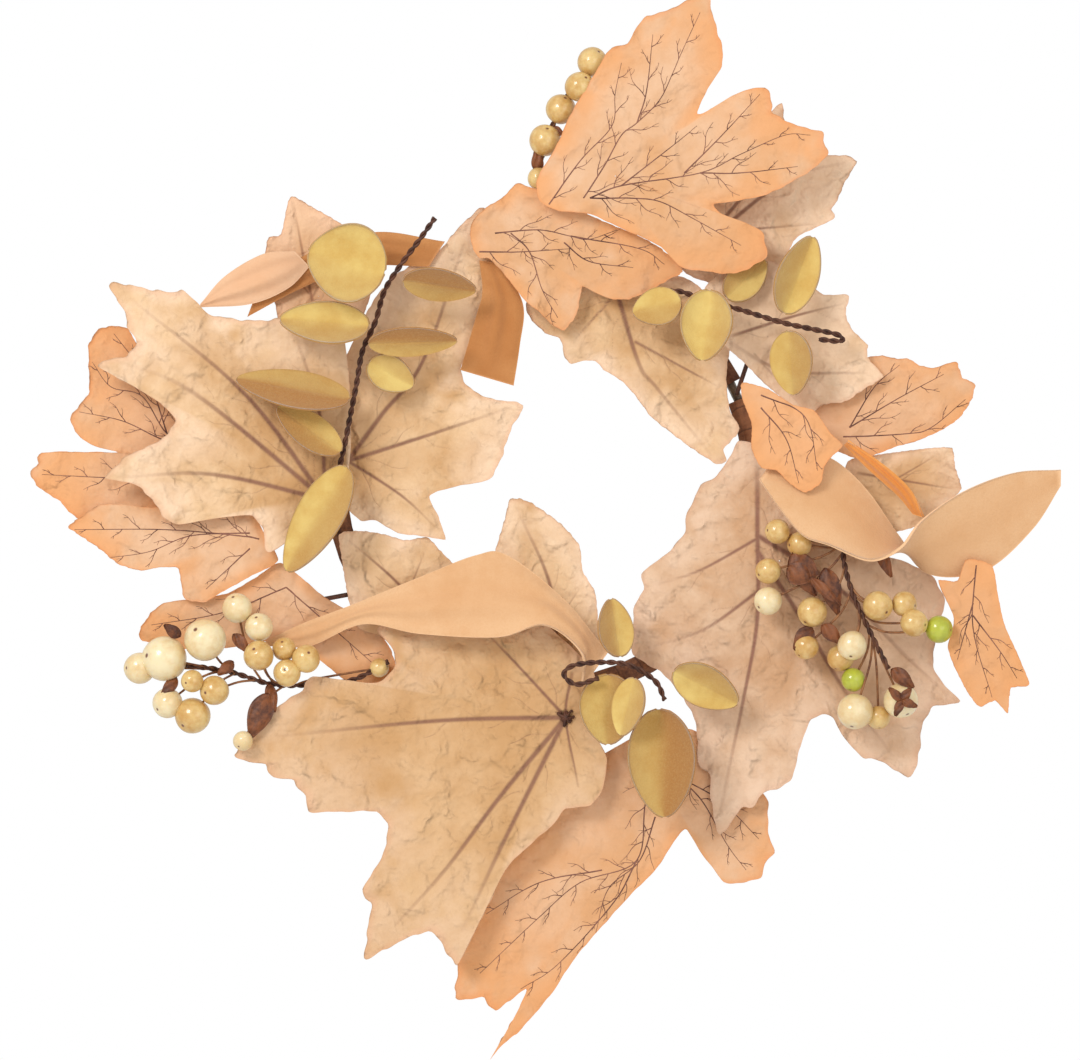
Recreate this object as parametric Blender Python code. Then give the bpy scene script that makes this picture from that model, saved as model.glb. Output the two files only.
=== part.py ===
"""Harvest door wreath, built as it comes apart on a bench.

A steel wire hoop is wrapped in brown floral tape. Maple leaves of stiffened cloth, smooth foam petals,
eucalyptus sprays and berry sprays stand on wires that are bound to the hoop. The wreath hangs upright:
+Z is up, +X is to the right seen from the front, and the front faces -Y. The origin is the point at the
hoop's inner top where a hook carries it. Lengths below are millimetres; meshes are written in metres.
"""

import math
from typing import NamedTuple

import bpy
import numpy as np

MM = 0.001

# Hoop and its tape.
HOOP_DIAMETER = 134.0
HOOP_WIRE = 3.0
TAPE_DIAMETER = 7.0
TAPE_FIT = 0.3
TAPE_OPENING_DEG = 5.0
TAPE_END_ANGLE = 25.0
HOOP_STEPS = 48
TAPE_SIDES = 8

# Cloth, foam and wire stock.
CLOTH = 0.5
FOAM = 1.0
EUCALYPTUS_SHEET = 0.6
SPRAY_WIRE = 2.2
LEAF_WIRE = 1.6
BERRY_STALK = 1.0
BARE_WIRE_SHARE = 0.45
TOUCH = 0.3

# One step of depth between two layers of leaves, forward of the hoop's plane.
LAYER = 1.0

# How finely the solids are divided.
BROAD_LEAF = 45.0
BROAD_RINGS = (0.35, 0.7, 1.0)
SMALL_RINGS = (0.5, 1.0)
PETAL_SPANS = 6
PETAL_RIBS = 12
PETAL_ROWS = 4
SPOON_ROWS = 7
SPOON_END = 0.12
BERRY_SIDES = 7
BERRY_RINGS = 5

# Overall size of the leaves against their drawn outlines.
LEAF_SIZE = 1.0

HOOP_RADIUS = HOOP_DIAMETER / 2
DRAWN_RADIUS = 67.0  # hoop radius at which the petals' and sprigs' points below are drawn
HANG_DROP = HOOP_RADIUS - TAPE_DIAMETER / 2


class Leaf(NamedTuple):
    """A maple leaf: a sheet over the wreath's plane, spreading from its hub."""

    name: str
    paint: str
    outward: float  # hub's distance outside the hoop's wire circle
    angle: float  # hub's place round the hoop, degrees from +X toward +Z
    depth: float  # hub's depth in layers
    tilt: tuple  # forward lift per millimetre to the right and per millimetre up
    fold: float  # forward lift per millimetre away from the mid line, negative where the mid line stands out
    outline: tuple  # rim points, millimetres right and up from the hub


LEAVES = (
    Leaf("left_maple_leaf", "cream_cloth", -1, 182, 13, (-0.03, 0.0), 0.0, (
        (-22, -21), (-24, -13), (-28, -9), (-39, -10), (-51, -12), (-55, -10), (-60, -3), (-65, 1), (-74, 3),
        (-67, 10), (-60, 13), (-54, 17), (-52, 22), (-57, 27), (-65, 32), (-77, 39), (-67, 42), (-64, 46),
        (-67, 51), (-68, 56), (-73, 64), (-70, 65), (-60, 63), (-53, 62), (-50, 63), (-45, 59), (-41, 55),
        (-28, 53), (-17, 54), (-6, 60), (2, 47), (4, 28), (4, 12), (2, -4), (-6, -10))),
    Leaf("inner_left_maple_leaf", "cream_cloth", -9, 177, 8, (0.03, 0.0), 0.0, (
        (26, -22), (19, -21), (11, -20), (4, -16), (-1, -16), (-6, -11), (-9, 0), (-9, 16), (-6, 35),
        (3, 54), (11, 63), (21, 68), (26, 72), (29, 76), (38, 84), (43, 75), (41, 58), (36, 42), (31, 33),
        (33, 27), (40, 23), (51, 21), (47, 13), (44, 4), (40, -3), (30, -5), (21, -8), (24, -15))),
    Leaf("top_left_maple_leaf", "peach_cloth", 26, 141, 6, (0.0, 0.0), 0.0, (
        (-9, 32), (-1, 28), (6, 24), (14, 18), (17, 2), (10, -14), (-3, -18), (-12, -11), (-14, -2),
        (-18, 8), (-17, 14), (-16, 19), (-12, 20))),
    Leaf("left_printed_leaf", "printed_cloth", 44, 176, 5, (0.0, 0.0), 0.0, (
        (-31, 41), (-23, 41), (-19, 35), (-3, 24), (13, 11), (16, -5), (13, -16), (-16, -19), (-32, -21),
        (-39, -20), (-45, -14), (-50, -11), (-54, -6), (-51, -2), (-50, 1), (-26, 1), (-33, 3), (-38, 6),
        (-41, 12), (-35, 20), (-35, 27), (-35, 36))),
    Leaf("lower_left_printed_leaf", "printed_cloth", 32, 191, 9, (0.0, 0.0), 0.0, (
        (-55, 4), (-51, 7), (-45, 11), (-37, 11), (-29, 10), (-13, 11), (3, 10), (7, 3), (12, -7), (3, -12),
        (-6, -17), (-11, -20), (-14, -20), (-18, -19), (-19, -13), (-20, -9), (-26, -9), (-32, -10),
        (-39, -8), (-45, -3), (-51, 1))),
    Leaf("berry_side_printed_leaf", "printed_cloth", 25, 206, 5.6, (0.0, 0.0), 0.0, (
        (-2, 14), (5, 9), (12, 3), (19, -1), (28, -6), (33, -13), (35, -19), (32, -25), (21, -25),
        (13, -19), (5, -13), (-5, -11), (-16, -13), (-27, -14), (-38, -13), (-46, -11), (-47, -8),
        (-43, -2), (-39, 1), (-32, 2), (-19, 4), (-10, 9))),
    Leaf("inner_lower_left_leaf", "cream_cloth", -9, 224, 7.4, (0.0, 0.0), 0.0, (
        (-24, 23), (-17, 24), (-10, 23), (-3, 21), (4, 22), (8, 18), (12, 14), (22, 5), (20, -6), (8, -12),
        (-9, -10), (-18, -7), (-21, 2), (-23, 14))),
    Leaf("inner_bottom_leaf", "cream_cloth", -16, 270, 9.2, (0.0, 0.0), 0.0, (
        (-11, 45), (-5, 44), (5, 37), (11, 30), (12, 22), (16, 15), (17, 5), (18, -6), (5, -14), (-14, -13),
        (-19, 0), (-20, 16), (-16, 28), (-13, 38))),
    Leaf("bottom_left_maple_leaf", "cream_cloth", 9, 275, 14, (0.0, -0.03), 0.0, (
        (-106, -12), (-101, -14), (-96, -15), (-93, -19), (-87, -20), (-83, -25), (-82, -30), (-71, -30),
        (-60, -30), (-57, -34), (-57, -40), (-60, -47), (-65, -55), (-62, -59), (-63, -67), (-64, -77),
        (-58, -74), (-50, -70), (-44, -68), (-40, -71), (-35, -79), (-31, -72), (-26, -62), (-19, -48),
        (-12, -41), (-4, -34), (0, -29), (8, -28), (12, -22), (13, -13), (10, -6), (11, 5), (8, 16),
        (-8, 31), (-21, 36), (-37, 38), (-53, 35), (-60, 28), (-56, 23), (-54, 17), (-60, 11), (-71, 12),
        (-81, 13), (-85, 8), (-97, 0), (-101, -6))),
    Leaf("bottom_printed_leaf", "printed_cloth", 35, 292, 7, (0.0, 0.0), 0.0, (
        (-61, -42), (-64, -53), (-67, -58), (-66, -63), (-67, -71), (-58, -71), (-54, -75), (-50, -72),
        (-44, -68), (-48, -77), (-56, -91), (-53, -87), (-46, -81), (-39, -73), (-35, -68), (-32, -63),
        (-27, -56), (-20, -48), (-11, -38), (-3, -30), (1, -24), (5, -18), (7, -17), (9, -20), (12, -25),
        (16, -30), (19, -34), (26, -34), (31, -32), (32, -28), (35, -24), (33, -18), (33, -8), (30, -4),
        (26, 3), (16, 11), (8, 15), (-8, 13), (-21, 6), (-30, -5), (-46, -18), (-56, -30))),
    Leaf("right_maple_leaf", "rose_cloth", 12, 341, 13, (0.0, 0.0), -0.14, (
        (-13, 38), (-17, 31), (-20, 27), (-25, 24), (-28, 18), (-30, 13), (-30, 9), (-35, 3), (-40, -1),
        (-44, -4), (-43, -9), (-46, -14), (-47, -26), (-47, -30), (-42, -33), (-35, -38), (-28, -48),
        (-26, -56), (-26, -64), (-22, -69), (-22, -74), (-21, -81), (-19, -88), (-15, -83), (-12, -79),
        (-8, -78), (-5, -74), (3, -71), (5, -66), (7, -58), (10, -51), (13, -49), (17, -50), (21, -57),
        (27, -63), (33, -64), (37, -67), (41, -69), (44, -66), (45, -59), (46, -52), (49, -47), (58, -45),
        (53, -40), (49, -33), (51, -22), (53, -13), (49, -5), (39, 0), (25, 3), (14, 10), (5, 19),
        (-2, 29), (-8, 37))),
    Leaf("right_crumpled_leaf", "printed_cloth", 78, 341, 19, (0.0, 0.0), 0.0, (
        (-3, 22), (5, 20), (7, 10), (9, 1), (13, -8), (17, -18), (11, -19), (10, -27), (6, -23), (1, -25),
        (-3, -20), (-7, -12), (-9, -6), (-7, 3), (-12, 15), (-6, 15))),
    Leaf("right_printed_leaf", "printed_cloth", 36, 11, 10, (0.0, 0.0), 0.0, (
        (36, 11), (35, 6), (31, 0), (25, -4), (18, -7), (11, -9), (6, -11), (-1, -13), (-9, -10), (-15, -6),
        (-20, -2), (-21, 6), (-10, 16), (-1, 19), (6, 20), (11, 19), (15, 19), (18, 17), (23, 16), (30, 18),
        (32, 13))),
    Leaf("right_pale_leaf", "cream_cloth", 43, 358, 7, (0.0, 0.0), 0.0, (
        (5, 13), (13, 14), (20, 14), (21, 8), (23, 1), (19, -3), (11, -10), (0, -13), (-13, -8), (-16, 0),
        (-13, 10), (-3, 12))),
    Leaf("upper_right_maple_leaf", "cream_cloth", 18, 36, 13, (0.0, 0.0), 0.0, (
        (28, 9), (27, 3), (29, -2), (34, -7), (34, -11), (39, -17), (33, -21), (27, -25), (20, -26),
        (14, -30), (8, -25), (1, -19), (-6, -12), (-13, -6), (-19, 2), (-18, 11), (-10, 19), (3, 20),
        (13, 14), (20, 9))),
    Leaf("top_inner_leaf", "cream_cloth", -6, 55, 8, (0.0, 0.0), 0.0, (
        (-41, 7), (-40, 2), (-35, -3), (-30, -5), (-29, -10), (-27, -13), (-23, -12), (-19, -12),
        (-16, -15), (-11, -18), (-7, -22), (-4, -26), (-1, -30), (4, -34), (12, -40), (20, -45), (23, -44),
        (22, -40), (26, -36), (27, -33), (24, -28), (23, -21), (23, -15), (24, -6), (21, 5), (11, 14),
        (-5, 18), (-24, 18), (-35, 14))),
    Leaf("top_right_maple_leaf", "cream_cloth", 35, 55, 7, (0.0, 0.0), 0.0, (
        (17, 37), (18, 31), (22, 26), (29, 21), (32, 20), (38, 20), (41, 18), (37, 11), (35, 6), (33, 3),
        (34, 0), (28, -3), (22, -6), (19, -11), (17, -17), (11, -22), (0, -22), (-13, -18), (-22, -6),
        (-16, 13), (-3, 29), (10, 31))),
    Leaf("top_printed_leaf", "printed_cloth", 32, 77, 20, (0.02, 0.02), 0.0, (
        (29, 58), (31, 51), (34, 41), (34, 35), (29, 27), (26, 20), (28, 20), (33, 23), (38, 26), (44, 28),
        (48, 28), (50, 23), (50, 20), (58, 16), (66, 14), (66, 11), (68, 8), (64, 3), (56, -2), (48, -6),
        (38, -8), (31, -9), (34, -12), (42, -15), (47, -18), (48, -26), (38, -31), (27, -30), (21, -29),
        (14, -22), (3, -17), (-8, -12), (-18, -11), (-24, -8), (-25, -1), (-19, 9), (-14, 20), (-8, 30),
        (-4, 37), (-1, 41), (4, 42), (6, 46), (10, 51), (15, 52))),
    Leaf("top_lower_printed_leaf", "printed_cloth", 9, 96, 14, (0.0, 0.0), 0.0, (
        (-1, 19), (2, 18), (5, 17), (13, 13), (26, 7), (38, 2), (45, -2), (52, -9), (47, -12), (42, -15),
        (35, -18), (29, -18), (24, -16), (20, -14), (19, -18), (18, -23), (14, -28), (10, -26), (6, -22),
        (2, -19), (-2, -14), (-6, -9), (-10, -5), (-13, -5), (-15, -2), (-16, 3), (-15, 7), (-11, 11),
        (-6, 14), (-3, 17))),
    Leaf("right_curled_leaf", "printed_cloth", 11, 11, 23, (0.0, 0.0), 0.0, (
        (-14, 16), (-6, 14), (2, 9), (9, 7), (14, 0), (18, -4), (14, -8), (12, -11), (11, -16), (6, -19),
        (1, -16), (-3, -12), (-8, -11), (-11, -5), (-11, 3), (-14, 11))),
)


class Petal(NamedTuple):
    """A foam petal: a band between two edges, each a list of right, up, and layers forward."""

    name: str
    paint: str
    near: tuple
    far: tuple


PETALS = (
    Petal("top_strip_petal", "orange_foam",
          ((-27, 35, 11), (-22, 52, 12), (-20, 60, 12), (-21, 70, 11)),
          ((-10, 30, 11), (-8, 43, 12), (-7, 56, 12), (-14, 69, 11))),
    Petal("upper_left_long_petal", "orange_foam",
          ((-95, 52, 8.6), (-78, 61, 8.8), (-60, 68, 8.8), (-37, 68, 10.6)),
          ((-92, 60, 8.6), (-78, 71, 8.8), (-55, 79, 8.8), (-32, 76, 10.6))),
    Petal("upper_left_rose_petal", "rose_foam",
          ((-110, 55, 10.4), (-94, 56, 10.6), (-82, 61, 10.8), (-75, 68, 11)),
          ((-110, 56, 10.4), (-102, 65, 10.6), (-90, 72, 10.8), (-80, 73, 11))),
    Petal("right_curved_petal", "peach_foam",
          ((68, 0, 20), (75, -10, 22), (82, -18, 24), (90, -21, 26), (103, -26, 28), (113, -22, 27),
           (120, -13, 25), (133, -4, 23), (149, 2, 21), (164, 3, 20)),
          ((73, 6, 17), (82, 8, 17), (90, 7, 16.5), (97, 2, 15), (104, -6, 13), (112, -18, 12),
           (122, -30, 13), (140, -29, 15), (155, -16, 17), (164, -2, 19))),
    Petal("right_orange_petal", "orange_foam",
          ((95, 11, 19), (103, 3, 19), (112, -5, 18.5), (117, -11, 18)),
          ((96, 12, 21), (106, 6, 22), (116, -3, 22), (120, -12, 20))),
    Petal("bottom_long_petal", "peach_foam",
          ((-90, -53, 9.5), (-75, -53, 10.5), (-58, -46, 17), (-40, -49, 21), (-15, -50, 25), (0, -46, 26),
           (12, -55, 23), (12, -66, 20)),
          ((-90, -52, 9.5), (-78, -46, 10.5), (-62, -40, 15), (-40, -31, 18), (-22, -24, 19), (-12, -24, 19),
           (6, -38, 19), (20, -55, 18.5))),
)


class Spoon(NamedTuple):
    """A eucalyptus leaf: foot and tip, each right, up and layers forward, then its width and its two lifts."""

    foot: tuple
    tip: tuple
    width: float
    cup: float  # forward lift of the edges over the mid line
    roll: float  # forward lift of one edge over the other


class Spray(NamedTuple):
    """A sprig: its wire's route, then what the wire carries."""

    name: str
    route: tuple
    leaves: tuple


EUCALYPTUS = (
    Spray("left_eucalyptus", (
        (-35, 83, 24), (-40, 76, 23), (-46, 68, 22), (-51, 60, 21), (-54, 50, 20.5), (-58, 41, 20),
        (-60, 30, 19.5), (-62, 20, 18.5), (-64, 10, 17.5), (-66, 2, 17), (-69, -6, 17)), (
        Spoon((-51, 66, 25), (-75, 72, 25), 25, 4, 2),
        Spoon((-45, 63, 25), (-22, 60, 24), 10, 2, 4),
        Spoon((-56, 49, 24), (-84, 51, 24), 13, 3, 3),
        Spoon((-56, 43, 24), (-28, 44, 23), 9, 2, 3),
        Spoon((-62, 26, 23), (-98, 32, 22), 12, 2, 5),
        Spoon((-56, 37, 19), (-42, 30, 17), 11, 2, 0),
        Spoon((-65, 9, 21), (-85, 23, 20), 11, 2, 2),
        Spoon((-63, 4, 22), (-82, -29, 21), 15, 3, 3))),
    Spray("top_right_eucalyptus", (
        (33, 59, 18), (42, 60, 19), (51, 57, 20), (62, 54, 21), (75, 50, 22), (84, 48, 22), (93, 46, 22),
        (94, 44, 22.5), (87, 44.5, 23)), (
        Spoon((52, 60, 24), (50, 38, 22), 16, 4, 2),
        Spoon((43, 57, 23), (28, 53, 21), 12, 2, 2),
        Spoon((58, 58, 16.5), (70, 70, 15), 11, 2, 0),
        Spoon((76, 53, 24), (85, 77, 23), 13, 3, 3),
        Spoon((77, 47, 24), (79, 27, 22), 13, 2, 5))),
    Spray("bottom_eucalyptus", (
        (38, -70, 21), (35, -64, 22), (27, -59, 23), (18, -58, 24), (9, -59, 24.5), (6, -62, 25),
        (10, -65, 25), (17, -63, 25.5)), (
        Spoon((24, -56, 22), (21, -38, 20), 11, 2, 3),
        Spoon((20, -62, 22.6), (20, -84, 21.6), 18, 3, 2),
        Spoon((28, -63, 29), (24, -81, 29), 10, 2, 4),
        Spoon((41, -61, 24), (61, -71, 24), 13, 3, 3),
        Spoon((36, -73, 25), (38, -107, 25), 21, 4, 2))),
)


class Berries(NamedTuple):
    """A berry spray: its wire's route, then its berries as right, up, layers forward and radius."""

    name: str
    route: tuple
    berries: tuple


BERRY_SPRAYS = (
    Berries("left_berry_spray", (
        (-50, -58, 10), (-62, -64, 10), (-78, -65.5, 10), (-88, -65, 12), (-101, -61, 14), (-115, -59, 15)), (
        (-121, -57, 17, 7.2), (-129, -60, 15, 5.0), (-108, -51, 20, 6.7), (-98, -41, 15, 4.8),
        (-91, -47, 17, 4.5), (-91, -56, 20, 4.8), (-83, -54, 16, 3.8), (-76, -57, 19, 4.5),
        (-82, -61.5, 19, 4.4), (-120, -71, 17, 4.8), (-112, -75, 17, 5.7), (-105, -67, 20, 4.7),
        (-112, -64, 22, 3.6), (-96, -83, 19, 3.2), (-53, -60, 9, 3.1))),
    Berries("right_berry_spray", (
        (76, 4, 9), (84, -5, 9), (92, -11, 12), (95, -18, 17), (95, -26, 20.5), (98, -37, 23), (103, -48, 24),
        (109, -60, 24)), (
        (74, -16.5, 19, 4.0), (81, -20.5, 18, 4.0), (71, -29, 20, 4.1), (71, -38.5, 21, 4.5),
        (85, -42, 21, 4.8), (83, -53, 20, 4.1), (97.5, -52.5, 26, 4.7), (94, -56.5, 20, 4.3),
        (98, -63.5, 21, 3.8), (98.5, -73.5, 22, 5.7), (106, -75.5, 19, 3.8), (113, -70, 22, 5.6),
        (105.5, -40, 26, 4.8), (114, -39.5, 23, 4.1), (117, -45.5, 25, 4.4), (125, -47.5, 22, 4.4))),
    Berries("top_berry_spray", (
        (-4, 72, 8), (-3, 84, 9), (-2, 98, 10), (2, 112, 11), (10, 128, 12)), (
        (15, 133, 13, 4.8), (11, 125, 15.5, 4.8), (5, 118, 12, 4.8), (0, 108, 13, 5.1), (-2, 96, 12.5, 3.6))),
)

# Where each leaf's wire foot meets the hoop, degrees round the hoop.
LEAF_FEET = {
    "left_maple_leaf": 184,
    "inner_left_maple_leaf": 172,
    "top_left_maple_leaf": 143,
    "left_printed_leaf": 178,
    "lower_left_printed_leaf": 194,
    "berry_side_printed_leaf": 212,
    "inner_lower_left_leaf": 224,
    "inner_bottom_leaf": 265,
    "bottom_left_maple_leaf": 278,
    "bottom_printed_leaf": 290,
    "right_pale_leaf": 357,
    "right_printed_leaf": 8,
    "upper_right_maple_leaf": 24,
    "top_inner_leaf": 55,
    "top_right_maple_leaf": 60,
    "top_lower_printed_leaf": 97,
}

PAINTS = {
    "cream_cloth": ((0.83, 0.66, 0.47, 1), 0.85, 0.0),
    "rose_cloth": ((0.78, 0.60, 0.46, 1), 0.85, 0.0),
    "peach_cloth": ((0.86, 0.66, 0.45, 1), 0.85, 0.0),
    "printed_cloth": ((0.85, 0.52, 0.28, 1), 0.85, 0.0),
    "orange_foam": ((0.86, 0.50, 0.26, 1), 0.8, 0.0),
    "peach_foam": ((0.88, 0.60, 0.36, 1), 0.8, 0.0),
    "rose_foam": ((0.86, 0.65, 0.48, 1), 0.8, 0.0),
    "eucalyptus": ((0.62, 0.43, 0.13, 1), 0.7, 0.0),
    "brown_wire": ((0.05, 0.02, 0.015, 1), 0.6, 0.0),
    "brown_tape": ((0.06, 0.03, 0.02, 1), 0.9, 0.0),
    "steel": ((0.45, 0.45, 0.45, 1), 0.4, 1.0),
    "berry": ((0.80, 0.66, 0.38, 1), 0.3, 0.0),
}


def clear_scene():
    """Remove whatever the file opened with."""
    for old in list(bpy.data.objects):
        bpy.data.objects.remove(old)


def material(name):
    """Return the named material, made once."""
    found = bpy.data.materials.get(name)
    if found:
        return found
    colour, roughness, metallic = PAINTS[name]
    made = bpy.data.materials.new(name)
    made.use_nodes = True
    shader = made.node_tree.nodes["Principled BSDF"]
    shader.inputs["Base Color"].default_value = colour
    shader.inputs["Roughness"].default_value = roughness
    shader.inputs["Metallic"].default_value = metallic
    return made


def place(points):
    """Turn rows of right, up and forward millimetres, from the hoop's centre, into world metres."""
    right, up, forward = np.asarray(points, dtype=float).T
    return np.column_stack((right, -forward, up - HANG_DROP)) * MM


def solid(name, points, faces, paint, origin=(0.0, 0.0, 0.0)):
    """Make one named object of placed points and faces, with its own origin in millimetres."""
    centre = place([origin])[0]
    mesh = bpy.data.meshes.new(name)
    mesh.from_pydata((place(points) - centre).tolist(), [], faces)
    mesh.materials.append(material(paint))
    mesh.update()
    face_outward(mesh)
    made = bpy.data.objects.new(name, mesh)
    made.location = centre
    bpy.context.scene.collection.objects.link(made)
    return made


def on_hoop(outward, angle_deg):
    """Return right and up of a point outside the hoop's wire circle by the given distance."""
    angle = math.radians(angle_deg)
    reach = HOOP_RADIUS + outward
    return reach * math.cos(angle), reach * math.sin(angle)


def carried(points, anchor):
    """Move drawn points outward with the hoop: along the direction of their anchor, by the radius gained."""
    moved = np.array(points, dtype=float)
    reach = math.hypot(anchor[0], anchor[1])
    moved[..., :2] += np.array(anchor[:2]) / reach * (HOOP_RADIUS - DRAWN_RADIUS)
    return moved


def smooth_route(route, per_span):
    """Return a Catmull-Rom curve through the route's points, ends included."""
    knots = np.asarray(route, dtype=float)
    padded = np.vstack((2 * knots[0] - knots[1], knots, 2 * knots[-1] - knots[-2]))
    share = np.linspace(0, 1, per_span, endpoint=False)[:, None]
    spans = []
    for before, start, end, after in zip(padded, padded[1:], padded[2:], padded[3:]):
        slope = (end - before) / 2
        curve = 2 * start - 2 * end + slope + (after - start) / 2
        bend = 3 * (end - start) - 2 * slope - (after - start) / 2
        spans.append(start + share * slope + share**2 * bend + share**3 * curve)
    return np.vstack(spans + [knots[-1:]])


def tube(name, route, diameter, sides, paint):
    """Make a round wire along a route, its ends closed."""
    path = np.asarray(route, dtype=float)
    along = np.gradient(path, axis=0)
    along /= np.linalg.norm(along, axis=1)[:, None]
    side = np.cross(along[0], (0.31, 0.17, 0.93))
    turns = 2 * math.pi * np.arange(sides) / sides
    points = []
    for spot, ahead in zip(path, along):
        side = side - ahead * side.dot(ahead)
        side /= np.linalg.norm(side)
        across = np.cross(ahead, side)
        ring = np.outer(np.cos(turns), side) + np.outer(np.sin(turns), across)
        points.append(spot + ring * diameter / 2)
    faces = []
    for step in range(len(path) - 1):
        for turn in range(sides):
            here = step * sides + turn
            beside = step * sides + (turn + 1) % sides
            faces.append((here, here + sides, beside + sides, beside))
    last = (len(path) - 1) * sides
    faces.append(tuple(range(sides)))
    faces.append(tuple(range(last + sides - 1, last - 1, -1)))
    return solid(name, np.vstack(points), faces, paint)


def hoop():
    """Make the closed ring of steel wire, lying in the wreath's plane."""
    bpy.ops.mesh.primitive_torus_add(
        major_segments=HOOP_STEPS,
        minor_segments=TAPE_SIDES,
        major_radius=HOOP_RADIUS * MM,
        minor_radius=HOOP_WIRE / 2 * MM,
        location=(0, 0, -HANG_DROP * MM),
        rotation=(math.pi / 2, 0, 0),
    )
    made = bpy.context.active_object
    made.name = "wire_hoop"
    made.data.materials.append(material("steel"))


def hoop_tape():
    """Make the tape sleeve round the wire: an eight-sided pipe with flats front and back, open at a short gap."""
    flat = math.cos(math.pi / TAPE_SIDES)
    radii = (TAPE_DIAMETER / 2 / flat, (HOOP_WIRE / 2 + TAPE_FIT) / flat)
    corners = 2 * math.pi * (np.arange(TAPE_SIDES) + 0.5) / TAPE_SIDES
    start = TAPE_END_ANGLE + TAPE_OPENING_DEG / 2
    stations = np.radians(np.linspace(start, start + 360 - TAPE_OPENING_DEG, HOOP_STEPS))
    points = []
    for station in stations:
        for radius in radii:
            reach = HOOP_RADIUS + radius * np.cos(corners)
            forward = radius * np.sin(corners)
            points.append(np.column_stack((reach * math.cos(station), reach * math.sin(station), forward)))
    faces = []
    ring = 2 * TAPE_SIDES
    for turn in range(TAPE_SIDES):
        beside = (turn + 1) % TAPE_SIDES
        for step in range(HOOP_STEPS - 1):
            here = step * ring
            ahead = here + ring
            faces.append((here + turn, here + beside, ahead + beside, ahead + turn))
            inner = TAPE_SIDES
            faces.append((here + inner + turn, ahead + inner + turn, ahead + inner + beside, here + inner + beside))
        last = (HOOP_STEPS - 1) * ring
        faces.append((turn, turn + TAPE_SIDES, beside + TAPE_SIDES, beside))
        faces.append((last + turn, last + beside, last + beside + TAPE_SIDES, last + turn + TAPE_SIDES))
    solid("hoop_tape", np.vstack(points), faces, "brown_tape")


def leaf_forward(leaf, right, up):
    """Return a leaf's depth forward of the hoop, from its hub outward: its tilt, and its fold about the mid line."""
    fold = leaf.fold * np.abs(right)
    return leaf.depth * LAYER + leaf.tilt[0] * right + leaf.tilt[1] * up + fold


def blade(leaf):
    """Make a maple leaf: rings of its outline shrinking to the hub, front and back, and the cut edge between."""
    rim = np.asarray(leaf.outline, dtype=float) * LEAF_SIZE
    turn = np.sum(rim[:, 0] * np.roll(rim[:, 1], -1) - rim[:, 1] * np.roll(rim[:, 0], -1))
    if turn < 0:
        rim = rim[::-1]
    spread = np.linalg.norm(rim, axis=1).max()
    shares = BROAD_RINGS if spread > BROAD_LEAF else SMALL_RINGS
    local = np.vstack([np.zeros((1, 2))] + [rim * share for share in shares])
    hub = np.asarray(on_hoop(leaf.outward, leaf.angle))
    forward = leaf_forward(leaf, local[:, 0], local[:, 1])
    front = np.column_stack((hub + local, forward))
    back = front - (0, 0, CLOTH)
    count = len(rim)
    behind = len(front)
    faces = []
    for here in range(count):
        beside = (here + 1) % count
        faces.append((0, 1 + here, 1 + beside))
        faces.append((behind, behind + 1 + beside, behind + 1 + here))
        for ring in range(len(shares) - 1):
            inner = 1 + ring * count
            outer = inner + count
            faces.append((inner + here, outer + here, outer + beside, inner + beside))
            faces.append((behind + inner + here, behind + inner + beside, behind + outer + beside,
                          behind + outer + here))
        rim_start = 1 + (len(shares) - 1) * count
        faces.append((rim_start + here, behind + rim_start + here, behind + rim_start + beside,
                      rim_start + beside))
    made = solid(leaf.name, np.vstack((front, back)), faces, leaf.paint, (hub[0], hub[1], leaf.depth * LAYER))
    if leaf.name in LEAF_FEET:
        add_foot(made, leaf, hub)
    return made


def add_foot(made, leaf, hub):
    """Join the leaf's wire foot to it: straight from the hub to the tape's front."""
    rest = on_hoop(0, LEAF_FEET[leaf.name])
    start = (hub[0], hub[1], leaf.depth * LAYER - CLOTH / 2)
    end = (rest[0], rest[1], TAPE_DIAMETER / 2 + TOUCH + LEAF_WIRE / 2)
    foot = tube(leaf.name + "_foot", (start, end), LEAF_WIRE, 6, "brown_wire")
    hide_cutter(foot)
    union = made.modifiers.new("foot", "BOOLEAN")
    union.operation = "UNION"
    union.object = foot


def hide_cutter(tool):
    """Keep a solid that only feeds a Boolean out of the finished object."""
    tool.hide_render = True
    tool.display_type = "WIRE"


def sheet(name, grid, thickness, paint):
    """Make a closed sheet from a grid of front points, thickened behind along its normals."""
    rows, columns, _ = grid.shape
    along = np.gradient(grid, axis=0)
    across = np.gradient(grid, axis=1)
    normal = np.cross(across, along)
    normal /= np.linalg.norm(normal, axis=2)[:, :, None]
    points = np.vstack((grid.reshape(-1, 3), (grid - normal * thickness).reshape(-1, 3)))
    behind = rows * columns
    faces = []
    for row in range(rows - 1):
        for column in range(columns - 1):
            here = row * columns + column
            above = here + columns
            faces.append((here, above, above + 1, here + 1))
            faces.append((behind + here, behind + here + 1, behind + above + 1, behind + above))
    loop = [column for column in range(columns)]
    loop += [row * columns + columns - 1 for row in range(1, rows)]
    loop += [(rows - 1) * columns + column for column in range(columns - 2, -1, -1)]
    loop += [row * columns for row in range(rows - 2, 0, -1)]
    for here, beside in zip(loop, loop[1:] + loop[:1]):
        faces.append((here, beside, behind + beside, behind + here))
    return solid(name, points, faces, paint)


def face_outward(mesh):
    """Turn a closed mesh's faces outward where its enclosed volume comes out negative."""
    corners = np.array([vertex.co[:] for vertex in mesh.vertices])
    volume = 0.0
    for face in mesh.polygons:
        first, *rest = [corners[index] for index in face.vertices]
        for second, third in zip(rest, rest[1:]):
            volume += np.dot(first, np.cross(second, third))
    if volume < 0:
        mesh.flip_normals()


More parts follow.
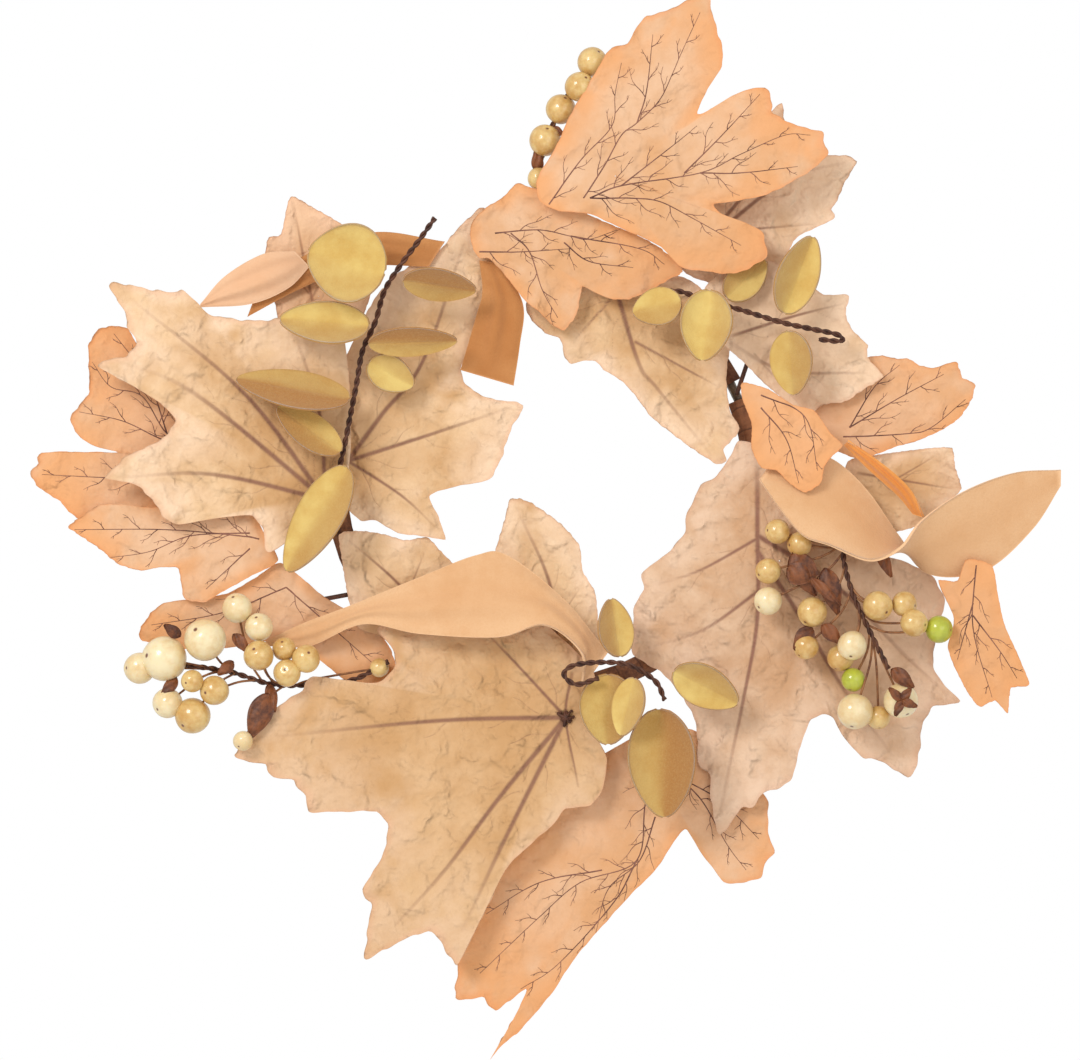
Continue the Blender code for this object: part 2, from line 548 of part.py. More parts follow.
def petal(entry):
    """Make a foam petal: straight ribs between its two smooth edges."""
    near = smooth_route(carried(entry.near, entry.near[0]), PETAL_SPANS)
    far = smooth_route(carried(entry.far, entry.near[0]), PETAL_SPANS)
    steps = np.linspace(0, 1, PETAL_RIBS)
    near = resample(near, steps)
    far = resample(far, steps)
    shares = np.linspace(0, 1, PETAL_ROWS)[None, :, None]
    grid = near[:, None, :] * (1 - shares) + far[:, None, :] * shares
    grid[:, :, 2] *= LAYER
    sheet(entry.name, grid, FOAM, entry.paint)


def resample(path, steps):
    """Read a path at even shares of its length."""
    gaps = np.linalg.norm(np.diff(path, axis=0), axis=1)
    reach = np.concatenate(([0], np.cumsum(gaps)))
    return np.column_stack([np.interp(steps * reach[-1], reach, path[:, axis]) for axis in range(3)])


def spoon_leaf(name, spoon, anchor):
    """Make a eucalyptus leaf: a rounded outline on its mid line, the edges lifted by the cup and the roll."""
    foot = carried(spoon.foot, anchor)
    tip = carried(spoon.tip, anchor)
    ahead = tip - foot
    side = np.array((-ahead[1], ahead[0], 0.0)) / math.hypot(ahead[0], ahead[1])
    grid = []
    for share in np.linspace(0, 1, SPOON_ROWS):
        half = spoon.width / 2 * (SPOON_END + (1 - SPOON_END) * math.sin(math.pi * share**0.85) ** 0.7)
        swell = half / (spoon.width / 2)
        for across in (-1.0, 0.0, 1.0):
            lift = (spoon.cup * across**2 + spoon.roll * across) * swell
            grid.append(foot + ahead * share + side * across * half + (0, 0, lift))
    grid = np.array(grid).reshape(SPOON_ROWS, 3, 3)
    grid[:, :, 2] *= LAYER
    sheet(name, grid, EUCALYPTUS_SHEET, "eucalyptus")


def eucalyptus_spray(spray):
    """Make a eucalyptus wire and the leaves along it."""
    anchor = spray.route[0]
    tube(spray.name + "_wire", smooth_route(carried(spray.route, anchor), 2), SPRAY_WIRE, 6, "brown_wire")
    for number, spoon in enumerate(spray.leaves, 1):
        spoon_leaf(f"{spray.name}_leaf_{number}", spoon, anchor)


def berry_spray(spray):
    """Make a berry spray as one body: the wire, its berries, and a stalk from each berry to the wire."""
    route = smooth_route(carried(spray.route, spray.route[0]), 3)
    bearing = route[int(len(route) * BARE_WIRE_SHARE):-1]
    wire = tube(spray.name, route, SPRAY_WIRE, 6, "berry")
    joined = bpy.data.collections.new(spray.name + "_berries")
    for number, (right, up, forward, radius) in enumerate(spray.berries):
        centre = carried((right, up, forward), spray.route[0])
        ball = berry_ball(f"{spray.name}_berry_{number}", centre, radius)
        root = bearing[np.argmin(np.linalg.norm(bearing - centre, axis=1))]
        stalk = tube(f"{spray.name}_stalk_{number}", (root, centre), BERRY_STALK, 4, "berry")
        for piece in (ball, stalk):
            hide_cutter(piece)
            bpy.context.scene.collection.objects.unlink(piece)
            joined.objects.link(piece)
    bpy.context.scene.collection.children.link(joined)
    union = wire.modifiers.new("berries", "BOOLEAN")
    union.operation = "UNION"
    union.operand_type = "COLLECTION"
    union.collection = joined


def berry_ball(name, centre, radius):
    """Make one round berry of rings about its upright axis."""
    points = [centre + (0, radius, 0)]
    for ring in range(1, BERRY_RINGS):
        polar = math.pi * ring / BERRY_RINGS
        for turn in range(BERRY_SIDES):
            angle = 2 * math.pi * (turn + ring / 2) / BERRY_SIDES
            offset = (math.sin(polar) * math.cos(angle), math.cos(polar), math.sin(polar) * math.sin(angle))
            points.append(centre + np.array(offset) * radius)
    points.append(centre - (0, radius, 0))
    faces = []
    last = len(points) - 1
    for turn in range(BERRY_SIDES):
        beside = (turn + 1) % BERRY_SIDES
        faces.append((0, 1 + turn, 1 + beside))
        for ring in range(BERRY_RINGS - 2):
            upper = 1 + ring * BERRY_SIDES
            lower = upper + BERRY_SIDES
            faces.append((upper + turn, lower + turn, lower + beside))
            faces.append((upper + turn, lower + beside, upper + beside))
        low = 1 + (BERRY_RINGS - 2) * BERRY_SIDES
        faces.append((low + turn, last, low + beside))
    return solid(name, np.array(points), faces, "berry")


def build():
    """Build the whole wreath."""
    clear_scene()
    hoop()
    hoop_tape()
    for leaf in LEAVES:
        blade(leaf)
    for entry in PETALS:
        petal(entry)
    for spray in EUCALYPTUS:
        eucalyptus_spray(spray)
    for spray in BERRY_SPRAYS:
        berry_spray(spray)


build()
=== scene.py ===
"""The look of the harvest door wreath: veined cloth leaves, suede petals, velvety eucalyptus and lacquered berries.

The shapes below repeat the design's tables, in millimetres right, up and forward of the hoop's centre.
The hoop's centre itself comes from the frame.
"""

import math
from typing import NamedTuple

import bpy
import numpy as np
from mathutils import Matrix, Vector
from mathutils.bvhtree import BVHTree


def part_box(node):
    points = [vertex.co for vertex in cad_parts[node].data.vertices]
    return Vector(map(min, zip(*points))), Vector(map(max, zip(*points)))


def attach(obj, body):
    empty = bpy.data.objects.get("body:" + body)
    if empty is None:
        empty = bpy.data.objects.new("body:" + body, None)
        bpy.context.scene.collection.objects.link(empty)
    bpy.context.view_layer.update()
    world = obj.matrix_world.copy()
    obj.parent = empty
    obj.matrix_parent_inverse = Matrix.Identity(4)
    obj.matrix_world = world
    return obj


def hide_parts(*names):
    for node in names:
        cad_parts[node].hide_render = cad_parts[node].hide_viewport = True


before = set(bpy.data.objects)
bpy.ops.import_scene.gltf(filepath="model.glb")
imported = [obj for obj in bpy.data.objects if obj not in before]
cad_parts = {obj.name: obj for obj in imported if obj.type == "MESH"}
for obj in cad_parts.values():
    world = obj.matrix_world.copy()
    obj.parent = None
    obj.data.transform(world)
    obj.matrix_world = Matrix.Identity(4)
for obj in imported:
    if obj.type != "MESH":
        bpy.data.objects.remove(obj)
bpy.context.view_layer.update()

MM = 0.001

# Sheet thicknesses, millimetres. The cloth seen is a little thinner than the stock, which leaves room for relief.
CLOTH = 0.5
SEEN_CLOTH = 0.8 * CLOTH
FOAM = 1.0
EUCALYPTUS_SHEET = 0.6
BRACT_SHEET = 0.25

# Wires, millimetres: each strand's distance from the twist's middle, the length of one turn, and the radii of
# a leaf's foot, a berry's stalk and a wire end of the knot. A foot stops just clear of the tape.
TWIST_RADIUS = 0.46
TWIST_PITCH = 6.5
FOOT_RADIUS = 0.75
STALK_RADIUS = 0.38
KNOT_RADIUS = 0.42
FOOT_CLEARANCE = 0.4

# Relief, millimetres: how deep veins lie in plain cloth, and a printed vein's feet below and crest above its leaf.
VEIN_HOLLOW = 0.22
RIDGE_SINK = 0.04
RIDGE_CREST = 0.10

HOOP_LOW, HOOP_HIGH = (np.array(corner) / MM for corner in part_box("wire_hoop"))
HOOP_WIRE = HOOP_HIGH[1] - HOOP_LOW[1]
HOOP_RADIUS = (HOOP_HIGH[0] - HOOP_LOW[0] - HOOP_WIRE) / 2
HOOP_CENTRE_UP = (HOOP_LOW[2] + HOOP_HIGH[2]) / 2
TAPE_FRONT = -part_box("hoop_tape")[0][1] / MM


class Leaf(NamedTuple):
    """A maple leaf: a sheet over the wreath's plane, spreading from its hub."""

    name: str
    paint: str
    outward: float  # hub's distance outside the hoop's wire circle
    angle: float  # hub's place round the hoop, degrees from +X toward +Z
    depth: float  # hub's depth, millimetres forward of the hoop's plane
    tilt: tuple  # forward lift per millimetre to the right and per millimetre up
    fold: float  # forward lift per millimetre away from the mid line, negative where the mid line stands out
    outline: tuple  # rim points, millimetres right and up from the hub


LEAVES = (
    Leaf("left_maple_leaf", "cream_cloth", -1, 182, 13, (-0.03, 0.0), 0.0, (
        (-22, -21), (-24, -13), (-28, -9), (-39, -10), (-51, -12), (-55, -10), (-60, -3), (-65, 1), (-74, 3),
        (-67, 10), (-60, 13), (-54, 17), (-52, 22), (-57, 27), (-65, 32), (-77, 39), (-67, 42), (-64, 46),
        (-67, 51), (-68, 56), (-73, 64), (-70, 65), (-60, 63), (-53, 62), (-50, 63), (-45, 59), (-41, 55),
        (-28, 53), (-17, 54), (-6, 60), (2, 47), (4, 28), (4, 12), (2, -4), (-6, -10))),
    Leaf("inner_left_maple_leaf", "cream_cloth", -9, 177, 8, (0.03, 0.0), 0.0, (
        (26, -22), (19, -21), (11, -20), (4, -16), (-1, -16), (-6, -11), (-9, 0), (-9, 16), (-6, 35),
        (3, 54), (11, 63), (21, 68), (26, 72), (29, 76), (38, 84), (43, 75), (41, 58), (36, 42), (31, 33),
        (33, 27), (40, 23), (51, 21), (47, 13), (44, 4), (40, -3), (30, -5), (21, -8), (24, -15))),
    Leaf("top_left_maple_leaf", "peach_cloth", 26, 141, 6, (0.0, 0.0), 0.0, (
        (-9, 32), (-1, 28), (6, 24), (14, 18), (17, 2), (10, -14), (-3, -18), (-12, -11), (-14, -2),
        (-18, 8), (-17, 14), (-16, 19), (-12, 20))),
    Leaf("left_printed_leaf", "printed_cloth", 44, 176, 5, (0.0, 0.0), 0.0, (
        (-31, 41), (-23, 41), (-19, 35), (-3, 24), (13, 11), (16, -5), (13, -16), (-16, -19), (-32, -21),
        (-39, -20), (-45, -14), (-50, -11), (-54, -6), (-51, -2), (-50, 1), (-26, 1), (-33, 3), (-38, 6),
        (-41, 12), (-35, 20), (-35, 27), (-35, 36))),
    Leaf("lower_left_printed_leaf", "printed_cloth", 32, 191, 9, (0.0, 0.0), 0.0, (
        (-55, 4), (-51, 7), (-45, 11), (-37, 11), (-29, 10), (-13, 11), (3, 10), (7, 3), (12, -7), (3, -12),
        (-6, -17), (-11, -20), (-14, -20), (-18, -19), (-19, -13), (-20, -9), (-26, -9), (-32, -10),
        (-39, -8), (-45, -3), (-51, 1))),
    Leaf("berry_side_printed_leaf", "printed_cloth", 25, 206, 5.6, (0.0, 0.0), 0.0, (
        (-2, 14), (5, 9), (12, 3), (19, -1), (28, -6), (33, -13), (35, -19), (32, -25), (21, -25),
        (13, -19), (5, -13), (-5, -11), (-16, -13), (-27, -14), (-38, -13), (-46, -11), (-47, -8),
        (-43, -2), (-39, 1), (-32, 2), (-19, 4), (-10, 9))),
    Leaf("inner_lower_left_leaf", "cream_cloth", -9, 224, 7.4, (0.0, 0.0), 0.0, (
        (-24, 23), (-17, 24), (-10, 23), (-3, 21), (4, 22), (8, 18), (12, 14), (22, 5), (20, -6), (8, -12),
        (-9, -10), (-18, -7), (-21, 2), (-23, 14))),
    Leaf("inner_bottom_leaf", "cream_cloth", -16, 270, 9.2, (0.0, 0.0), 0.0, (
        (-11, 45), (-5, 44), (5, 37), (11, 30), (12, 22), (16, 15), (17, 5), (18, -6), (5, -14), (-14, -13),
        (-19, 0), (-20, 16), (-16, 28), (-13, 38))),
    Leaf("bottom_left_maple_leaf", "cream_cloth", 9, 275, 14, (0.0, -0.03), 0.0, (
        (-106, -12), (-101, -14), (-96, -15), (-93, -19), (-87, -20), (-83, -25), (-82, -30), (-71, -30),
        (-60, -30), (-57, -34), (-57, -40), (-60, -47), (-65, -55), (-62, -59), (-63, -67), (-64, -77),
        (-58, -74), (-50, -70), (-44, -68), (-40, -71), (-35, -79), (-31, -72), (-26, -62), (-19, -48),
        (-12, -41), (-4, -34), (0, -29), (8, -28), (12, -22), (13, -13), (10, -6), (11, 5), (8, 16),
        (-8, 31), (-21, 36), (-37, 38), (-53, 35), (-60, 28), (-56, 23), (-54, 17), (-60, 11), (-71, 12),
        (-81, 13), (-85, 8), (-97, 0), (-101, -6))),
    Leaf("bottom_printed_leaf", "printed_cloth", 35, 292, 7, (0.0, 0.0), 0.0, (
        (-61, -42), (-64, -53), (-67, -58), (-66, -63), (-67, -71), (-58, -71), (-54, -75), (-50, -72),
        (-44, -68), (-48, -77), (-56, -91), (-53, -87), (-46, -81), (-39, -73), (-35, -68), (-32, -63),
        (-27, -56), (-20, -48), (-11, -38), (-3, -30), (1, -24), (5, -18), (7, -17), (9, -20), (12, -25),
        (16, -30), (19, -34), (26, -34), (31, -32), (32, -28), (35, -24), (33, -18), (33, -8), (30, -4),
        (26, 3), (16, 11), (8, 15), (-8, 13), (-21, 6), (-30, -5), (-46, -18), (-56, -30))),
    Leaf("right_maple_leaf", "rose_cloth", 12, 341, 13, (0.0, 0.0), -0.14, (
        (-13, 38), (-17, 31), (-20, 27), (-25, 24), (-28, 18), (-30, 13), (-30, 9), (-35, 3), (-40, -1),
        (-44, -4), (-43, -9), (-46, -14), (-47, -26), (-47, -30), (-42, -33), (-35, -38), (-28, -48),
        (-26, -56), (-26, -64), (-22, -69), (-22, -74), (-21, -81), (-19, -88), (-15, -83), (-12, -79),
        (-8, -78), (-5, -74), (3, -71), (5, -66), (7, -58), (10, -51), (13, -49), (17, -50), (21, -57),
        (27, -63), (33, -64), (37, -67), (41, -69), (44, -66), (45, -59), (46, -52), (49, -47), (58, -45),
        (53, -40), (49, -33), (51, -22), (53, -13), (49, -5), (39, 0), (25, 3), (14, 10), (5, 19),
        (-2, 29), (-8, 37))),
    Leaf("right_crumpled_leaf", "printed_cloth", 78, 341, 19, (0.0, 0.0), 0.0, (
        (-3, 22), (5, 20), (7, 10), (9, 1), (13, -8), (17, -18), (11, -19), (10, -27), (6, -23), (1, -25),
        (-3, -20), (-7, -12), (-9, -6), (-7, 3), (-12, 15), (-6, 15))),
    Leaf("right_printed_leaf", "printed_cloth", 36, 11, 10, (0.0, 0.0), 0.0, (
        (36, 11), (35, 6), (31, 0), (25, -4), (18, -7), (11, -9), (6, -11), (-1, -13), (-9, -10), (-15, -6),
        (-20, -2), (-21, 6), (-10, 16), (-1, 19), (6, 20), (11, 19), (15, 19), (18, 17), (23, 16), (30, 18),
        (32, 13))),
    Leaf("right_pale_leaf", "cream_cloth", 43, 358, 7, (0.0, 0.0), 0.0, (
        (5, 13), (13, 14), (20, 14), (21, 8), (23, 1), (19, -3), (11, -10), (0, -13), (-13, -8), (-16, 0),
        (-13, 10), (-3, 12))),
    Leaf("upper_right_maple_leaf", "cream_cloth", 18, 36, 13, (0.0, 0.0), 0.0, (
        (28, 9), (27, 3), (29, -2), (34, -7), (34, -11), (39, -17), (33, -21), (27, -25), (20, -26),
        (14, -30), (8, -25), (1, -19), (-6, -12), (-13, -6), (-19, 2), (-18, 11), (-10, 19), (3, 20),
        (13, 14), (20, 9))),
    Leaf("top_inner_leaf", "cream_cloth", -6, 55, 8, (0.0, 0.0), 0.0, (
        (-41, 7), (-40, 2), (-35, -3), (-30, -5), (-29, -10), (-27, -13), (-23, -12), (-19, -12),
        (-16, -15), (-11, -18), (-7, -22), (-4, -26), (-1, -30), (4, -34), (12, -40), (20, -45), (23, -44),
        (22, -40), (26, -36), (27, -33), (24, -28), (23, -21), (23, -15), (24, -6), (21, 5), (11, 14),
        (-5, 18), (-24, 18), (-35, 14))),
    Leaf("top_right_maple_leaf", "cream_cloth", 35, 55, 7, (0.0, 0.0), 0.0, (
        (17, 37), (18, 31), (22, 26), (29, 21), (32, 20), (38, 20), (41, 18), (37, 11), (35, 6), (33, 3),
        (34, 0), (28, -3), (22, -6), (19, -11), (17, -17), (11, -22), (0, -22), (-13, -18), (-22, -6),
        (-16, 13), (-3, 29), (10, 31))),
    Leaf("top_printed_leaf", "printed_cloth", 32, 77, 20, (0.02, 0.02), 0.0, (
        (29, 58), (31, 51), (34, 41), (34, 35), (29, 27), (26, 20), (28, 20), (33, 23), (38, 26), (44, 28),
        (48, 28), (50, 23), (50, 20), (58, 16), (66, 14), (66, 11), (68, 8), (64, 3), (56, -2), (48, -6),
        (38, -8), (31, -9), (34, -12), (42, -15), (47, -18), (48, -26), (38, -31), (27, -30), (21, -29),
        (14, -22), (3, -17), (-8, -12), (-18, -11), (-24, -8), (-25, -1), (-19, 9), (-14, 20), (-8, 30),
        (-4, 37), (-1, 41), (4, 42), (6, 46), (10, 51), (15, 52))),
    Leaf("top_lower_printed_leaf", "printed_cloth", 9, 96, 14, (0.0, 0.0), 0.0, (
        (-1, 19), (2, 18), (5, 17), (13, 13), (26, 7), (38, 2), (45, -2), (52, -9), (47, -12), (42, -15),
        (35, -18), (29, -18), (24, -16), (20, -14), (19, -18), (18, -23), (14, -28), (10, -26), (6, -22),
        (2, -19), (-2, -14), (-6, -9), (-10, -5), (-13, -5), (-15, -2), (-16, 3), (-15, 7), (-11, 11),
        (-6, 14), (-3, 17))),
    Leaf("right_curled_leaf", "printed_cloth", 11, 11, 23, (0.0, 0.0), 0.0, (
        (-14, 16), (-6, 14), (2, 9), (9, 7), (14, 0), (18, -4), (14, -8), (12, -11), (11, -16), (6, -19),
        (1, -16), (-3, -12), (-8, -11), (-11, -5), (-11, 3), (-14, 11))),
)


class Petal(NamedTuple):
    """A foam petal: a band between two edges, each a list of points, millimetres right, up and forward."""

    name: str
    paint: str
    near: tuple
    far: tuple


PETALS = (
    Petal("top_strip_petal", "orange_foam",
          ((-27, 35, 11), (-22, 52, 12), (-20, 60, 12), (-21, 70, 11)),
          ((-10, 30, 11), (-8, 43, 12), (-7, 56, 12), (-14, 69, 11))),
    Petal("upper_left_long_petal", "orange_foam",
          ((-95, 52, 8.6), (-78, 61, 8.8), (-60, 68, 8.8), (-37, 68, 10.6)),
          ((-92, 60, 8.6), (-78, 71, 8.8), (-55, 79, 8.8), (-32, 76, 10.6))),
    Petal("upper_left_rose_petal", "rose_foam",
          ((-110, 55, 10.4), (-94, 56, 10.6), (-82, 61, 10.8), (-75, 68, 11)),
          ((-110, 56, 10.4), (-102, 65, 10.6), (-90, 72, 10.8), (-80, 73, 11))),
    Petal("right_curved_petal", "peach_foam",
          ((68, 0, 20), (75, -10, 22), (82, -18, 24), (90, -21, 26), (103, -26, 28), (113, -22, 27),
           (120, -13, 25), (133, -4, 23), (149, 2, 21), (164, 3, 20)),
          ((73, 6, 17), (82, 8, 17), (90, 7, 16.5), (97, 2, 15), (104, -6, 13), (112, -18, 12),
           (122, -30, 13), (140, -29, 15), (155, -16, 17), (164, -2, 19))),
    Petal("right_orange_petal", "orange_foam",
          ((95, 11, 19), (103, 3, 19), (112, -5, 18.5), (117, -11, 18)),
          ((96, 12, 21), (106, 6, 22), (116, -3, 22), (120, -12, 20))),
    Petal("bottom_long_petal", "peach_foam",
          ((-90, -53, 9.5), (-75, -53, 10.5), (-58, -46, 17), (-40, -49, 21), (-15, -50, 25), (0, -46, 26),
           (12, -55, 23), (12, -66, 20)),
          ((-90, -52, 9.5), (-78, -46, 10.5), (-62, -40, 15), (-40, -31, 18), (-22, -24, 19), (-12, -24, 19),
           (6, -38, 19), (20, -55, 18.5))),
)


class Spoon(NamedTuple):
    """A eucalyptus leaf: foot and tip, millimetres right, up and forward, then its width and its two lifts."""

    foot: tuple
    tip: tuple
    width: float
    cup: float  # forward lift of the edges over the mid line
    roll: float  # forward lift of one edge over the other


class Spray(NamedTuple):
    """A sprig: its wire's route, then what the wire carries."""

    name: str
    route: tuple
    leaves: tuple


EUCALYPTUS = (
    Spray("left_eucalyptus", (
        (-35, 83, 24), (-40, 76, 23), (-46, 68, 22), (-51, 60, 21), (-54, 50, 20.5), (-58, 41, 20),
        (-60, 30, 19.5), (-62, 20, 18.5), (-64, 10, 17.5), (-66, 2, 17), (-69, -6, 17)), (
        Spoon((-51, 66, 25), (-75, 72, 25), 25, 4, 2),
        Spoon((-45, 63, 25), (-22, 60, 24), 10, 2, 4),
        Spoon((-56, 49, 24), (-84, 51, 24), 13, 3, 3),
        Spoon((-56, 43, 24), (-28, 44, 23), 9, 2, 3),
        Spoon((-62, 26, 23), (-98, 32, 22), 12, 2, 5),
        Spoon((-56, 37, 19), (-42, 30, 17), 11, 2, 0),
        Spoon((-65, 9, 21), (-85, 23, 20), 11, 2, 2),
        Spoon((-63, 4, 22), (-82, -29, 21), 15, 3, 3))),
    Spray("top_right_eucalyptus", (
        (33, 59, 18), (42, 60, 19), (51, 57, 20), (62, 54, 21), (75, 50, 22), (84, 48, 22), (93, 46, 22),
        (94, 44, 22.5), (87, 44.5, 23)), (
        Spoon((52, 60, 24), (50, 38, 22), 16, 4, 2),
        Spoon((43, 57, 23), (28, 53, 21), 12, 2, 2),
        Spoon((58, 58, 16.5), (70, 70, 15), 11, 2, 0),
        Spoon((76, 53, 24), (85, 77, 23), 13, 3, 3),
        Spoon((77, 47, 24), (79, 27, 22), 13, 2, 5))),
    Spray("bottom_eucalyptus", (
        (38, -70, 21), (35, -64, 22), (27, -59, 23), (18, -58, 24), (9, -59, 24.5), (6, -62, 25),
        (10, -65, 25), (17, -63, 25.5)), (
        Spoon((24, -56, 22), (21, -38, 20), 11, 2, 3),
        Spoon((20, -62, 22.6), (20, -84, 21.6), 18, 3, 2),
        Spoon((28, -63, 29), (24, -81, 29), 10, 2, 4),
        Spoon((41, -61, 24), (61, -71, 24), 13, 3, 3),
        Spoon((36, -73, 25), (38, -107, 25), 21, 4, 2))),
)


class Berries(NamedTuple):
    """A berry spray: its wire's route, then its berries as right, up, forward and radius in millimetres."""

    name: str
    route: tuple
    berries: tuple


BERRY_SPRAYS = (
    Berries("left_berry_spray", (
        (-50, -58, 10), (-62, -64, 10), (-78, -65.5, 10), (-88, -65, 12), (-101, -61, 14), (-115, -59, 15)), (
        (-121, -57, 17, 7.2), (-129, -60, 15, 5.0), (-108, -51, 20, 6.7), (-98, -41, 15, 4.8),
        (-91, -47, 17, 4.5), (-91, -56, 20, 4.8), (-83, -54, 16, 3.8), (-76, -57, 19, 4.5),
        (-82, -61.5, 19, 4.4), (-120, -71, 17, 4.8), (-112, -75, 17, 5.7), (-105, -67, 20, 4.7),
        (-112, -64, 22, 3.6), (-96, -83, 19, 3.2), (-53, -60, 9, 3.1))),
    Berries("right_berry_spray", (
        (76, 4, 9), (84, -5, 9), (92, -11, 12), (95, -18, 17), (95, -26, 20.5), (98, -37, 23), (103, -48, 24),
        (109, -60, 24)), (
        (74, -16.5, 19, 4.0), (81, -20.5, 18, 4.0), (71, -29, 20, 4.1), (71, -38.5, 21, 4.5),
        (85, -42, 21, 4.8), (83, -53, 20, 4.1), (97.5, -52.5, 26, 4.7), (94, -56.5, 20, 4.3),
        (98, -63.5, 21, 3.8), (98.5, -73.5, 22, 5.7), (106, -75.5, 19, 3.8), (113, -70, 22, 5.6),
        (105.5, -40, 26, 4.8), (114, -39.5, 23, 4.1), (117, -45.5, 25, 4.4), (125, -47.5, 22, 4.4))),
    Berries("top_berry_spray", (
        (-4, 72, 8), (-3, 84, 9), (-2, 98, 10), (2, 112, 11), (10, 128, 12)), (
        (15, 133, 13, 4.8), (11, 125, 15.5, 4.8), (5, 118, 12, 4.8), (0, 108, 13, 5.1), (-2, 96, 12.5, 3.6))),
)

# Main veins of each leaf, as routes right and up from its hub.
VEINS = {
    "top_printed_leaf": (
        ((-10, -7), (-3, 4), (2, 13), (7, 17), (14, 24), (18, 32), (21, 39), (27, 52)),
        ((7, 17), (10, 27), (12, 45)), ((-8, -7), (2, -3), (27, 1), (40, 7), (54, 13), (62, 13)),
        ((22, 1), (34, 13), (46, 26)), ((-21, -9), (-11, 5), (-1, 16), (0, 26), (2, 36)),
        ((2, -3), (20, 11), (26, 16)), ((-8, -7), (5, -7), (14, -8), (24, -13), (40, -22)),
        ((27, 1), (40, 1), (58, 3))),
    "top_lower_printed_leaf": (
        ((-13, -3), (0, -3), (16, -2)), ((-8, 3), (6, 4), (16, 2), (22, 1), (31, 4)),
        ((16, 2), (38, -2), (46, -7)), ((-3, 3), (3, -3), (7, -15), (12, -24)),
        ((14, 0), (22, -6), (36, -8))),
    "bottom_left_maple_leaf": (
        ((0, 0), (-40, -1), (-92, -6)), ((2, 14), (0, 0), (4, -22)), ((0, 0), (-12, 13), (-28, 30)),
        ((0, 0), (-20, -24), (-38, -48), (-54, -66)), ((0, 0), (-20, -40), (-33, -68))),
    "bottom_printed_leaf": (
        ((0, 4), (-6, -8), (-9, -27), (-27, -34), (-40, -45), (-59, -63)),
        ((-20, -30), (-40, -34), (-57, -44)), ((-3, -13), (-8, -27), (-18, -36), (-22, -50)),
        ((4, 0), (12, -8), (20, -22), (26, -30)), ((-9, -27), (-16, -40), (-34, -60), (-46, -68)),
        ((4, 0), (18, -8), (30, -20))),
    "right_maple_leaf": (
        ((-7, 34), (-7, 10), (-7, -18), (-11, -42), (-19, -80)), ((-7, 7), (-25, -3), (-40, -8)),
        ((-7, 3), (8, -20), (20, -40), (36, -62)), ((-7, 8), (18, -8), (40, -30), (54, -43)),
        ((-7, -10), (-24, -22), (-42, -28))),
    "left_maple_leaf": (
        ((-4, -4), (-46, 30), (-70, 40)), ((-4, -4), (-30, 30), (-66, 60)), ((-4, -4), (-40, 4), (-70, 3)),
        ((-4, -4), (-22, -17)), ((-4, -4), (-6, 24), (-14, 50))),
    "inner_left_maple_leaf": (
        ((-5, 3), (6, 18), (19, 35), (32, 72)), ((-5, 3), (20, 11), (47, 20)), ((-5, 3), (12, -8), (24, -19))),
    "left_printed_leaf": (
        ((0, 3), (-10, 7), (-18, 19), (-28, 22), (-34, 30)), ((0, 3), (-11, 5), (-24, 11), (-38, 14)),
        ((0, -6), (-10, -8), (-30, -7), (-50, -6)), ((-10, 7), (-16, 24), (-27, 39))),
    "lower_left_printed_leaf": (
        ((6, 0), (0, 1), (-24, 3), (-53, 3)), ((3, 2), (-16, 1), (-29, -4), (-42, -6)),
        ((3, -3), (-11, -16))),
    "berry_side_printed_leaf": (((0, 6), (-20, -2), (-43, -6)), ((0, 6), (16, -8), (32, -22))),
    "inner_lower_left_leaf": (((8, -8), (-6, 8), (-21, 21)), ((-2, 4), (4, 19))),
    "inner_bottom_leaf": (((4, -12), (2, 16), (-9, 42)), ((3, 4), (12, 18))),
    "upper_right_maple_leaf": (
        ((-12, -5), (7, -15), (34, -16)), ((-12, -5), (10, 2), (26, 6)), ((-2, -10), (14, -28))),
    "right_printed_leaf": (
        ((-6, -6), (14, -5), (22, -3), (33, 6)), ((-4, -3), (11, 6), (26, 14)), ((-4, -3), (4, 10), (12, 17))),
    "right_pale_leaf": (((-10, 6), (2, 4), (20, 1)), ((2, 4), (14, 11))),
    "top_inner_leaf": (((-12, 10), (-5, -13), (1, -21), (18, -42)), ((-12, 10), (-28, -8)), ((-6, -6), (20, -20))),
    "top_right_maple_leaf": (
        ((-10, -10), (18, 12), (38, 18)), ((-10, -10), (8, 12), (17, 34)), ((0, -4), (28, -2))),
    "top_left_maple_leaf": (((0, -10), (-4, 8), (-8, 30)), ((-2, 0), (-15, 14)), ((-2, 0), (9, 18))),
    "right_curled_leaf": (((-8, 12), (6, 5), (10, -12)), ((-8, 8), (0, -2), (4, -16))),
    "right_crumpled_leaf": (((0, 20), (-1, 0), (5, -22)), ((-1, 4), (8, -8), (13, -16)), ((-1, 8), (-6, -10))),
}

# Each eucalyptus leaf's tone, from 0 with its straw-yellow face forward to 1 with its brown underside forward,
# and its crease: forward lift of both edges, or with a minus sign of the mid line, millimetres.
TONES = {
    "left_eucalyptus": ((0.0, 0.8), (0.9, -0.9), (0.15, 1.2), (0.75, -1.2), (0.85, -1.2), (0.1, 0.5), (0.55, -1.0),
                        (0.35, -1.4)),
    "top_right_eucalyptus": ((0.0, 0.9), (0.3, -1.0), (0.35, 0.0), (0.1, 0.9), (0.3, -1.2)),
    "bottom_eucalyptus": ((0.4, 0.6), (0.5, 0.9), (0.15, -0.9), (0.2, -0.8), (0.75, 0.9)),
}

